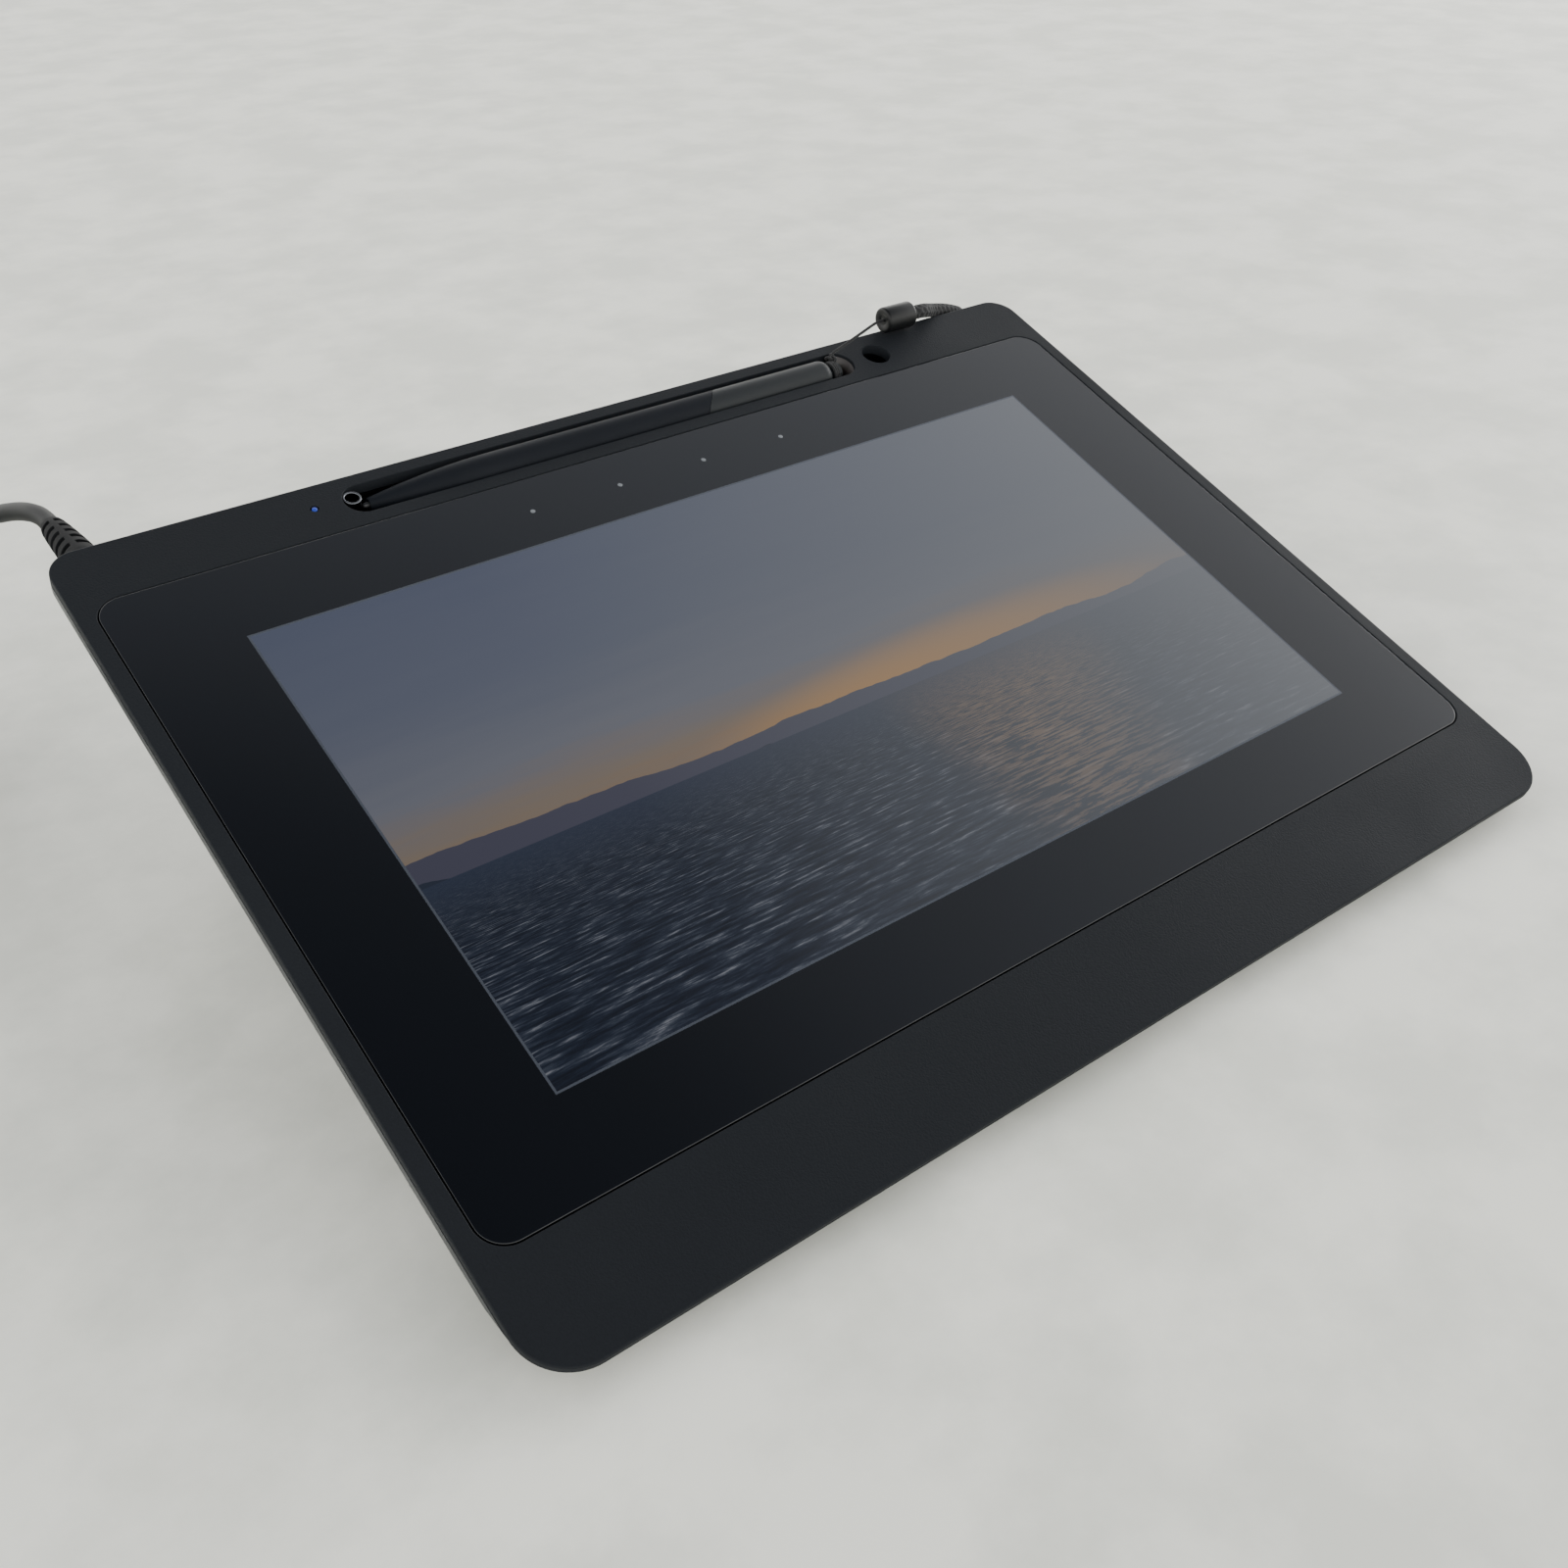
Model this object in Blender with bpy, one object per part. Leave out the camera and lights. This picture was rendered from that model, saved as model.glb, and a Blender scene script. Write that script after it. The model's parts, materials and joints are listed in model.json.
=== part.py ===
"""Pen display on two fold-out legs: every piece as its own solid, in metres, +Z up.

The slab's own frame has its origin at the middle of the picture, on the glass:
X to the right, Y up the slope towards the back, Z out of the glass. That frame
is an empty, tilted about X and raised so that the feet stand on Z = 0.
"""
import math

import bmesh
import bpy
from mathutils import Matrix, Vector, geometry

for old in list(bpy.data.objects):
    bpy.data.objects.remove(old)

# Picture, and the slab's borders round it
PICTURE_WIDTH = 0.2232
PICTURE_HEIGHT = 0.12555
SIDE_BORDER = 0.0294
FRONT_BORDER = 0.045325
BACK_BORDER = 0.039425
SLAB_WIDTH = PICTURE_WIDTH + 2 * SIDE_BORDER
SLAB_FRONT_REACH = PICTURE_HEIGHT / 2 + FRONT_BORDER
SLAB_BACK_REACH = PICTURE_HEIGHT / 2 + BACK_BORDER

# Other driving sizes of the slab
TILT = math.radians(18.0)
FRONT_CORNER = 0.0115
BACK_CORNER = 0.0070
EDGE_ROUND = 0.0004
LIP_HEIGHT = 0.0020
UNDER_BOARD_ROOM = 0.0042
WALL_HEIGHT = 0.0042
SIDE_CURVE = 0.0220
BACK_CURVE = 0.0050
FRONT_RECESS = 0.0010
COVER_WALL = 0.0016
COVER_FLOOR = 0.0020
FOOT_HEIGHT = 0.0030

# Gaps: a seam between stacked pieces, a clearance round fitted ones, a cut's overrun
SEAM = 0.00025
CLEARANCE = 0.0003
OVERRUN = 0.0010

# Cover glass
GLASS_SIDE_MARGIN = 0.0042
GLASS_FRONT_MARGIN = 0.0243
GLASS_BACK_MARGIN = 0.0173
GLASS_CORNER = 0.0060
GLASS_THICKNESS = 0.0011

# The stack behind the glass
PANEL_BORDER = 0.0055
PANEL_THICKNESS = 0.0014
BACKLIGHT_THICKNESS = 0.0020
SENSOR_THICKNESS = 0.0006
SHIELD_THICKNESS = 0.0003
CHASSIS_THICKNESS = 0.0010
STANDOFF = 0.0017
BOARD_THICKNESS = 0.0012
LEDGE_THICKNESS = 0.00165

# Pen and its groove
PEN_RADIUS = 0.0043
PEN_SINK = 0.0027
PEN_NOSE = -0.0687
PEN_BOUNDARY = 0.0293
PEN_SHOULDER = 0.0688
GROOVE_WIDTH = 0.0096
TAIL_NECK = 0.0037
PEN_END = PEN_SHOULDER + TAIL_NECK
GROOVE_LEFT = -0.0747
GROOVE_PAST_PEN = 0.0045
GROOVE_RIGHT = PEN_END + GROOVE_PAST_PEN
GROOVE_FROM_BACK = 0.0085
NIB_TRAVEL = 0.0006

# Legs
LEG_WIDTH = 0.0280
LEG_THICKNESS = 0.0067
LEG_HINGE_FROM_BACK = 0.0442
LEG_HINGE_REACH = SLAB_BACK_REACH - LEG_HINGE_FROM_BACK
PIN_RADIUS = 0.0015

# Cords
CABLE_DIAMETER = 0.0045
TETHER_DIAMETER = 0.0040
STRING_DIAMETER = 0.0008
CABLE_SIDE = 0.0114
TETHER_SIDE = 0.0190
CABLE_LEVEL = 0.0090
TETHER_LEVEL = 0.0098

# Counts of steps round a curve
CORNER_STEPS = 6
ROUND_STEPS = 20
SMALL_STEPS = 12
CURVE_STEPS = 6
LOOP_POINTS = 24

# Shares: a rounded edge's middle point, the sharpest mitre, half of a coil's width
ROUND_SHARE = 0.33
MITRE_SHARE = 0.5
MIDDLE_SHARE = 0.5

COS_TILT = math.cos(TILT)
SIN_TILT = math.sin(TILT)
TAN_TILT = math.tan(TILT)
HALF_TURN = math.pi
RIGHT_ANGLE = math.pi / 2

# Levels down the stack, below the glass's face
PANEL_TOP = GLASS_THICKNESS + SEAM
BLOCK_DEPTH = PANEL_TOP + LEDGE_THICKNESS
BACKLIGHT_TOP = PANEL_TOP + PANEL_THICKNESS + SEAM
SENSOR_TOP = BACKLIGHT_TOP + BACKLIGHT_THICKNESS + SEAM
SHIELD_TOP = SENSOR_TOP + SENSOR_THICKNESS + SEAM
CHASSIS_TOP = SHIELD_TOP + SHIELD_THICKNESS + SEAM
CHASSIS_BOTTOM = CHASSIS_TOP + CHASSIS_THICKNESS
BOARD_TOP = CHASSIS_BOTTOM + STANDOFF + SEAM
BOARD_BOTTOM = BOARD_TOP + BOARD_THICKNESS
COVER_TOP = LIP_HEIGHT + SEAM
FLOOR_TOP = BOARD_BOTTOM + UNDER_BOARD_ROOM
BODY_DEPTH = FLOOR_TOP + COVER_FLOOR
HALF_WIDTH = SLAB_WIDTH / 2
CABLE_EXIT = Vector((CABLE_SIDE - HALF_WIDTH, 0, -CABLE_LEVEL))
TETHER_EXIT = Vector((HALF_WIDTH - TETHER_SIDE, 0, -TETHER_LEVEL))

# Where the glass and the display module end
GLASS_HALF = HALF_WIDTH - GLASS_SIDE_MARGIN
GLASS_FRONT = -SLAB_FRONT_REACH + GLASS_FRONT_MARGIN
GLASS_BACK = SLAB_BACK_REACH - GLASS_BACK_MARGIN
PANEL_HALF = PICTURE_WIDTH / 2 + PANEL_BORDER
PANEL_REACH = PICTURE_HEIGHT / 2 + PANEL_BORDER

# Groove and pen axis
PEN_LINE = SLAB_BACK_REACH - GROOVE_FROM_BACK
GROOVE_HALF = GROOVE_WIDTH / 2


# The cover's outer surface: straight walls, then a quarter ellipse inwards
def cover_inset(curve, depth, full_depth):
    """How far the cover has drawn in at a depth, for a curve of that width."""
    share = min(max((depth - WALL_HEIGHT) / (full_depth - WALL_HEIGHT), 0), 1)
    return curve * (1 - math.sqrt(1 - share * share))


def facet_front(depth):
    """Y of the sloped front facet, which lies level with the table."""
    return -SLAB_FRONT_REACH + FRONT_RECESS + (depth - COVER_TOP) / TAN_TILT


def facet_depth(reach):
    """Depth of the sloped front facet below a Y."""
    return COVER_TOP + (reach + SLAB_FRONT_REACH - FRONT_RECESS) * TAN_TILT


CURVE_DEPTHS = [
    WALL_HEIGHT + (BODY_DEPTH - WALL_HEIGHT) * math.sin(RIGHT_ANGLE * step / CURVE_STEPS)
    for step in range(CURVE_STEPS + 1)
]
SLAB_HEIGHT = FOOT_HEIGHT - facet_front(COVER_TOP) * SIN_TILT + COVER_TOP * COS_TILT
FRONT_EXTREME = -SLAB_FRONT_REACH * COS_TILT + EDGE_ROUND * SIN_TILT
BACK_EXTREME = max(
    (SLAB_BACK_REACH - cover_inset(BACK_CURVE, depth, BODY_DEPTH)) * COS_TILT + depth * SIN_TILT
    for depth in CURVE_DEPTHS
)
SLAB_SHIFT = -(FRONT_EXTREME + BACK_EXTREME) / 2
SLAB_MATRIX = Matrix.Translation((0, SLAB_SHIFT, SLAB_HEIGHT)) @ Matrix.Rotation(TILT, 4, "X")


def in_world(point):
    """A point of the slab's frame, as the table sees it."""
    return SLAB_MATRIX @ Vector(point)


def in_slab(point):
    """A point over the table, in the slab's frame."""
    return SLAB_MATRIX.inverted() @ Vector(point)


# Shapes
def rounded(left, right, front, back, front_radius, back_radius):
    """Corner-rounded rectangle as (x, y) points, anticlockwise from the front left."""
    room = min(right - left, back - front) / 2
    front_radius = min(front_radius, room)
    back_radius = min(back_radius, room)
    corners = (
        (left + front_radius, front + front_radius, front_radius, HALF_TURN),
        (right - front_radius, front + front_radius, front_radius, HALF_TURN + RIGHT_ANGLE),
        (right - back_radius, back - back_radius, back_radius, 0),
        (left + back_radius, back - back_radius, back_radius, RIGHT_ANGLE),
    )
    points = []
    for x, y, radius, start in corners:
        for step in range(CORNER_STEPS + 1):
            angle = start + RIGHT_ANGLE * step / CORNER_STEPS
            points.append((x + radius * math.cos(angle), y + radius * math.sin(angle)))
    return points


def loft(rings):
    """One closed body through rings of equal count, with a flat cap at each end."""
    shape = bmesh.new()
    made = [[shape.verts.new(point) for point in ring] for ring in rings]
    for lower, upper in zip(made, made[1:]):
        for index in range(len(lower)):
            after = (index + 1) % len(lower)
            shape.faces.new((lower[index], lower[after], upper[after], upper[index]))
    shape.faces.new(made[0])
    shape.faces.new(made[-1])
    bmesh.ops.recalc_face_normals(shape, faces=shape.faces)
    return shape


def at_level(outline, level):
    """An outline as a ring of 3-D points at one height."""
    return [(x, y, level) for x, y in outline]


def prism(outline, low, high):
    """An outline made solid between two heights."""
    shape = bmesh.new()
    face = shape.faces.new([shape.verts.new((x, y, low)) for x, y in outline])
    grown = bmesh.ops.extrude_face_region(shape, geom=[face])
    top = [item for item in grown["geom"] if isinstance(item, bmesh.types.BMVert)]
    bmesh.ops.translate(shape, verts=top, vec=(0, 0, high - low))
    bmesh.ops.recalc_face_normals(shape, faces=shape.faces)
    return shape


def box(low, high):
    """A plain box between two corners."""
    outline = ((low[0], low[1]), (high[0], low[1]), (high[0], high[1]), (low[0], high[1]))
    return prism(outline, low[2], high[2])


def pad(left, right, front, back, radius, low, high):
    """A plate with four equal round corners."""
    return prism(rounded(left, right, front, back, radius, radius), low, high)


def turned(profile, steps=ROUND_STEPS):
    """A profile of (radius, height) points spun about Z, closed on the axis."""
    shape = bmesh.new()
    points = [shape.verts.new((radius, 0, height)) for radius, height in profile]
    edges = [shape.edges.new(pair) for pair in zip(points, points[1:])]
    if profile[0][0] > 0:
        edges.append(shape.edges.new((points[-1], points[0])))
    bmesh.ops.spin(
        shape, geom=points + edges, cent=(0, 0, 0), axis=(0, 0, 1),
        dvec=(0, 0, 0), angle=2 * math.pi, steps=steps, use_merge=True,
    )
    bmesh.ops.remove_doubles(shape, verts=shape.verts, dist=SEAM / 10)
    bmesh.ops.dissolve_limit(shape, angle_limit=math.radians(1.0), verts=shape.verts, edges=shape.edges)
    bmesh.ops.recalc_face_normals(shape, faces=shape.faces)
    return shape


def rod(radius, low, high, steps=SMALL_STEPS):
    """A plain round bar along Z."""
    return turned(((0, low), (radius, low), (radius, high), (0, high)), steps)


def aimed(shape, place, direction=(0, 0, 1)):
    """Turn a shape's Z to a direction and move it to its place."""
    turn = Vector((0, 0, 1)).rotation_difference(Vector(direction)).to_matrix().to_4x4()
    bmesh.ops.transform(shape, matrix=Matrix.Translation(place) @ turn, verts=shape.verts)
    return shape


def together(shapes):
    """Several shapes in one mesh, for one cut or one union."""
    joined = bmesh.new()
    for shape in shapes:
        flat = bpy.data.meshes.new("parts")
        shape.to_mesh(flat)
        joined.from_mesh(flat)
    return joined


# Objects
def frame(name, matrix, parent=None):
    """An empty that carries pieces."""
    empty = bpy.data.objects.new(name, None)
    bpy.context.scene.collection.objects.link(empty)
    empty.parent = parent
    empty.matrix_basis = matrix
    return empty


SLAB = frame("slab_frame", SLAB_MATRIX)
TABLE = frame("table_frame", Matrix.Identity(4))


def piece(name, shape, parent, colour, roughness, metallic=0.0, place=(0, 0, 0)):
    """A named solid with its own material, its origin at a place of its parent's frame."""
    bmesh.ops.translate(shape, verts=shape.verts, vec=-Vector(place))
    mesh = bpy.data.meshes.new(name)
    shape.to_mesh(mesh)
    mesh.shade_smooth()
    mesh.set_sharp_from_angle(angle=math.radians(30.0))
    made = bpy.data.objects.new(name, mesh)
    bpy.context.scene.collection.objects.link(made)
    made.parent = parent
    made.location = place
    finish = bpy.data.materials.new(name)
    finish.use_nodes = True
    shader = finish.node_tree.nodes["Principled BSDF"]
    shader.inputs["Base Color"].default_value = (*colour, 1.0)
    shader.inputs["Roughness"].default_value = roughness
    shader.inputs["Metallic"].default_value = metallic
    finish.diffuse_color = (*colour, 1.0)
    mesh.materials.append(finish)
    return made


def combine(target, name, shape, operation, place=(0, 0, 0)):
    """Cut a shape from a piece or join it on, with the shape kept as a hidden guide."""
    bmesh.ops.translate(shape, verts=shape.verts, vec=-Vector(place))
    mesh = bpy.data.meshes.new(name)
    shape.to_mesh(mesh)
    guide = bpy.data.objects.new(name, mesh)
    bpy.context.scene.collection.objects.link(guide)
    guide.parent = target.parent
    guide.location = place
    guide.hide_render = True
    guide.display_type = "WIRE"
    step = target.modifiers.new(name, "BOOLEAN")
    step.object = guide
    step.operation = operation
    step.solver = "EXACT"


def soften(target, width, segments=2):
    """Round a piece's edges."""
    edge = target.modifiers.new("soften", "BEVEL")
    edge.width = width
    edge.segments = segments
    edge.limit_method = "ANGLE"
    edge.angle_limit = math.radians(40.0)


BLACK_PLASTIC = (0.016, 0.018, 0.020)
DARK_PLASTIC = (0.022, 0.023, 0.025)
RUBBER = (0.012, 0.012, 0.012)
STEEL = (0.55, 0.56, 0.58)
BOARD_GREEN = (0.02, 0.12, 0.06)

# Places that more than one piece shares
SCREW_SIDE = 0.0130
SCREW_FRONT_SIDE = 0.0230
SCREW_FROM_FRONT = 0.0301
SCREW_FROM_HINGE = 0.0140
SCREW_MIDDLE_REACH = 0.0050
SCREW_RADIUS = 0.00125
SCREW_TIP = 0.0043
SCREW_HEAD_RADIUS = 0.0024
SCREW_HEAD_HEIGHT = 0.0014
SEAT_SIDE = 0.0130
SEAT_FRONT = 0.0093
BOSS_RADIUS = 0.0030
BOSS_BOTTOM = 0.0080
COVER_BOSS_RADIUS = 0.0036
EMBED = 0.0005

SCREW_X = HALF_WIDTH - SCREW_SIDE
SCREW_FRONT_REACH = SCREW_FROM_FRONT - SLAB_FRONT_REACH
SCREW_BACK_REACH = LEG_HINGE_REACH + SCREW_FROM_HINGE
SCREW_FRONT_X = HALF_WIDTH - SCREW_FRONT_SIDE
SCREW_PLACES = []
for side in (-1, 1):
    SCREW_PLACES.append((side * SCREW_FRONT_X, SCREW_FRONT_REACH, SEAT_FRONT))
    SCREW_PLACES.append((side * SCREW_X, SCREW_MIDDLE_REACH, SEAT_SIDE))
    SCREW_PLACES.append((side * SCREW_X, SCREW_BACK_REACH, SEAT_SIDE))


def outside_depth(x, y):
    """Depth of the cover's outer surface under a point well inside its edge."""
    inwards = min(HALF_WIDTH - abs(x), SIDE_CURVE)
    share = 1 - inwards / SIDE_CURVE
    curved = WALL_HEIGHT + (BODY_DEPTH - WALL_HEIGHT) * math.sqrt(1 - share * share)
    return min(curved, facet_depth(y), BODY_DEPTH)


# Front bezel: a plate with a visible lip, a deeper block inside it, and its openings
BLOCK_INSET = 0.0030
BLOCK_FRONT_INSET = 0.0115
OPENING_MARGIN = 0.0010
FLEX_ROOM = 0.0052
OPENING_CORNER = 0.0010
KEY_HALF = 0.0460
KEY_FROM_PANEL = 0.002225
KEY_FROM_GLASS = 0.0059
KEY_FRONT = PANEL_REACH + KEY_FROM_PANEL
KEY_BACK = GLASS_BACK - KEY_FROM_GLASS
KEY_DEPTH = 0.00075
KEY_CORNER = 0.0008
STAND_FROM_GROOVE = 0.0090
STAND_RADIUS = 0.0045
STAND_X = GROOVE_RIGHT + STAND_FROM_GROOVE
LIGHT_FROM_GROOVE = 0.0070
LIGHT_OFF_LINE = 0.0008
LIGHT_X = GROOVE_LEFT - LIGHT_FROM_GROOVE
LIGHT_Y = PEN_LINE + LIGHT_OFF_LINE
LIGHT_RADIUS = 0.00075
POST_RADIUS = 0.0025
POST_FROM_PANEL = 0.0039
POST_X = PANEL_HALF + POST_FROM_PANEL
POST_Y = 0.0600
BORE_ROOF = SCREW_TIP - CLEARANCE


def slab_outline(inset, front_inset):
    """The slab's outline seen from above, drawn in at the sides and at the front."""
    return rounded(
        -HALF_WIDTH + inset, HALF_WIDTH - inset,
        -SLAB_FRONT_REACH + front_inset, SLAB_BACK_REACH - inset,
        FRONT_CORNER - inset, BACK_CORNER - inset,
    )


def glass_outline(inset):
    """The glass's outline, drawn in or let out."""
    return rounded(
        -GLASS_HALF + inset, GLASS_HALF - inset,
        GLASS_FRONT + inset, GLASS_BACK - inset,
        GLASS_CORNER - inset, GLASS_CORNER - inset,
    )


bezel_rings = []
for angle in (0, RIGHT_ANGLE / 2, RIGHT_ANGLE):
    edge_inset = EDGE_ROUND * (1 - math.sin(angle))
    bezel_rings.append(at_level(slab_outline(edge_inset, edge_inset), EDGE_ROUND * (math.cos(angle) - 1)))
bezel_rings.append(at_level(slab_outline(0, 0), -LIP_HEIGHT))
bezel_rings.append(at_level(slab_outline(BLOCK_INSET, BLOCK_FRONT_INSET), -LIP_HEIGHT))
bezel_rings.append(at_level(slab_outline(BLOCK_INSET, BLOCK_FRONT_INSET), -BLOCK_DEPTH))
front_bezel = piece("front_bezel", loft(bezel_rings), SLAB, BLACK_PLASTIC, 0.55)

combine(front_bezel, "glass_pocket", prism(glass_outline(-CLEARANCE), -PANEL_TOP, OVERRUN), "DIFFERENCE")
combine(
    front_bezel, "display_opening",
    pad(
        -PANEL_HALF - OPENING_MARGIN, PANEL_HALF + OPENING_MARGIN,
        -PANEL_REACH - FLEX_ROOM, PANEL_REACH + OPENING_MARGIN,
        OPENING_CORNER, -BLOCK_DEPTH - OVERRUN, -GLASS_THICKNESS,
    ),
    "DIFFERENCE",
)
combine(
    front_bezel, "touch_key_recess",
    pad(-KEY_HALF, KEY_HALF, KEY_FRONT, KEY_BACK, KEY_CORNER, -PANEL_TOP - KEY_DEPTH, -GLASS_THICKNESS),
    "DIFFERENCE",
)
groove_slot = pad(
    GROOVE_LEFT, GROOVE_RIGHT, PEN_LINE - GROOVE_HALF, PEN_LINE + GROOVE_HALF,
    GROOVE_HALF, -BLOCK_DEPTH - OVERRUN, OVERRUN,
)
stand_hole = aimed(rod(STAND_RADIUS, -BLOCK_DEPTH - OVERRUN, OVERRUN, ROUND_STEPS), (STAND_X, PEN_LINE, 0))
light_hole = aimed(rod(LIGHT_RADIUS + CLEARANCE, -BLOCK_DEPTH - OVERRUN, OVERRUN), (LIGHT_X, LIGHT_Y, 0))
combine(front_bezel, "top_openings", together([groove_slot, stand_hole, light_hole]), "DIFFERENCE")

posts = []
bores = []
for x, y, seat in SCREW_PLACES:
    posts.append(aimed(rod(BOSS_RADIUS, -BOSS_BOTTOM, -LIP_HEIGHT - EMBED), (x, y, 0)))
    bores.append(aimed(rod(SCREW_RADIUS + CLEARANCE, -BOSS_BOTTOM - OVERRUN, -BORE_ROOF), (x, y, 0)))
for x in (-POST_X, POST_X):
    for y in (-POST_Y, POST_Y):
        posts.append(aimed(rod(POST_RADIUS, -CHASSIS_TOP + SEAM, -LIP_HEIGHT - EMBED), (x, y, 0)))
combine(front_bezel, "bezel_posts", together(posts), "UNION")
combine(front_bezel, "bezel_bores", together(bores), "DIFFERENCE")

# Cover glass
GLASS_CHAMFER = 0.0003
cover_glass = piece(
    "cover_glass",
    loft([
        at_level(glass_outline(GLASS_CHAMFER), 0),
        at_level(glass_outline(0), -GLASS_CHAMFER),
        at_level(glass_outline(0), -GLASS_THICKNESS),
    ]),
    SLAB, (0.010, 0.011, 0.014), 0.12,
)

# The display module and the pen's sensing layers, one below the other
BACKLIGHT_INSET = 0.0004
SENSOR_INSET = 0.0010
SHEET_CORNER = 0.0008


def sheet_layer(name, inset, top, thickness, colour, roughness, metallic=0.0):
    """One flat layer of the stack."""
    shape = pad(
        -PANEL_HALF + inset, PANEL_HALF - inset, -PANEL_REACH + inset, PANEL_REACH - inset,
        SHEET_CORNER, -top - thickness, -top,
    )
    return piece(name, shape, SLAB, colour, roughness, metallic)


sheet_layer("lcd_panel", 0, PANEL_TOP, PANEL_THICKNESS, (0.05, 0.06, 0.09), 0.2)
sheet_layer("backlight_unit", BACKLIGHT_INSET, BACKLIGHT_TOP, BACKLIGHT_THICKNESS, (0.85, 0.86, 0.86), 0.5)
sheet_layer("sensor_board", SENSOR_INSET, SENSOR_TOP, SENSOR_THICKNESS, BOARD_GREEN, 0.4)
sheet_layer("sensor_shield", SENSOR_INSET, SHIELD_TOP, SHIELD_THICKNESS, STEEL, 0.35, 1.0)

# Metal mid-frame with the standoffs of the main board
CHASSIS_FROM_SCREW = 0.0040
CHASSIS_FRONT_LAP = 0.001725
CHASSIS_X = SCREW_X - CHASSIS_FROM_SCREW
CHASSIS_FRONT = -PANEL_REACH - CHASSIS_FRONT_LAP
CHASSIS_BACK = SCREW_BACK_REACH
CHASSIS_CORNER = 0.0040
BOARD_LEFT = -0.0550
BOARD_RIGHT = 0.0550
BOARD_FRONT = -0.0200
BOARD_BACK = 0.0440
BOARD_CORNER = 0.0020
BOARD_HOLE_INSET = 0.0040
BOARD_SCREW_RADIUS = 0.0010
BOARD_SCREW_HEAD_RADIUS = 0.0019
BOARD_SCREW_HEAD_HEIGHT = 0.0012
STANDOFF_RADIUS = 0.0023
BITE_SHARE = 0.8
BOARD_SCREW_TIP = CHASSIS_TOP + CHASSIS_THICKNESS * BITE_SHARE
BOARD_SCREWS = [
    (x, y)
    for x in (BOARD_LEFT + BOARD_HOLE_INSET, BOARD_RIGHT - BOARD_HOLE_INSET)
    for y in (BOARD_FRONT + BOARD_HOLE_INSET, BOARD_BACK - BOARD_HOLE_INSET)
]

chassis_plate = piece(
    "chassis_plate",
    pad(-CHASSIS_X, CHASSIS_X, CHASSIS_FRONT, CHASSIS_BACK, CHASSIS_CORNER, -CHASSIS_BOTTOM, -CHASSIS_TOP),
    SLAB, (0.60, 0.61, 0.63), 0.4, 1.0,
)
standoffs = []
standoff_bores = []
for x, y in BOARD_SCREWS:
    standoffs.append(aimed(rod(STANDOFF_RADIUS, SEAM - BOARD_TOP, EMBED - CHASSIS_BOTTOM), (x, y, 0)))
    standoff_bores.append(
        aimed(rod(BOARD_SCREW_RADIUS + CLEARANCE, -BOARD_TOP, CLEARANCE - BOARD_SCREW_TIP), (x, y, 0))
    )
combine(chassis_plate, "standoffs", together(standoffs), "UNION")
combine(chassis_plate, "standoff_bores", together(standoff_bores), "DIFFERENCE")

# Main board with two chips on its lower face
CHIP_HEIGHT = 0.0012
CHIP_LEFT = 0.0260
CHIP_WIDTH = 0.0100
CHIP_FRONT = -0.0020
CHIP_STEP = 0.0160
main_board = piece(
    "main_board",
    pad(BOARD_LEFT, BOARD_RIGHT, BOARD_FRONT, BOARD_BACK, BOARD_CORNER, -BOARD_BOTTOM, -BOARD_TOP),
    SLAB, BOARD_GREEN, 0.45,
)
chips = []
for row in (0, 1):
    front = CHIP_FRONT + row * CHIP_STEP
    chips.append(box(
        (CHIP_LEFT, front, -BOARD_BOTTOM - CHIP_HEIGHT),
        (CHIP_LEFT + CHIP_WIDTH, front + CHIP_WIDTH, EMBED - BOARD_BOTTOM),
    ))
combine(main_board, "chips", together(chips), "UNION")
combine(
    main_board, "board_holes",
    together([
        aimed(rod(BOARD_SCREW_RADIUS + CLEARANCE, -BOARD_BOTTOM - OVERRUN, OVERRUN - BOARD_TOP), (x, y, 0))
        for x, y in BOARD_SCREWS
    ]),
    "DIFFERENCE",
)

# Steel can over the processor, and the socket of the lead
CAN_LEFT = -0.0140
CAN_RIGHT = 0.0180
CAN_FRONT = -0.0040
CAN_BACK = 0.0220
CAN_HEIGHT = 0.0020
CAN_CORNER = 0.0012
piece(
    "processor_shield",
    pad(
        CAN_LEFT, CAN_RIGHT, CAN_FRONT, CAN_BACK, CAN_CORNER,
        -BOARD_BOTTOM - SEAM - CAN_HEIGHT, -BOARD_BOTTOM - SEAM,
    ),
    SLAB, STEEL, 0.3, 1.0,
)
SOCKET_X = -0.0180
SOCKET_HALF = 0.0060
SOCKET_LAP = 0.0070
SOCKET_LENGTH = 0.0120
SOCKET_FRONT = BOARD_BACK - SOCKET_LAP
SOCKET_BACK = SOCKET_FRONT + SOCKET_LENGTH
SOCKET_HEIGHT = 0.0035
SOCKET_LEVEL = BOARD_BOTTOM + SEAM + SOCKET_HEIGHT / 2
piece(
    "cable_socket",
    box(
        (SOCKET_X - SOCKET_HALF, SOCKET_FRONT, -SOCKET_LEVEL - SOCKET_HEIGHT / 2),
        (SOCKET_X + SOCKET_HALF, SOCKET_BACK, -SOCKET_LEVEL + SOCKET_HEIGHT / 2),
    ),
    SLAB, (0.80, 0.78, 0.70), 0.5,
)

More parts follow.
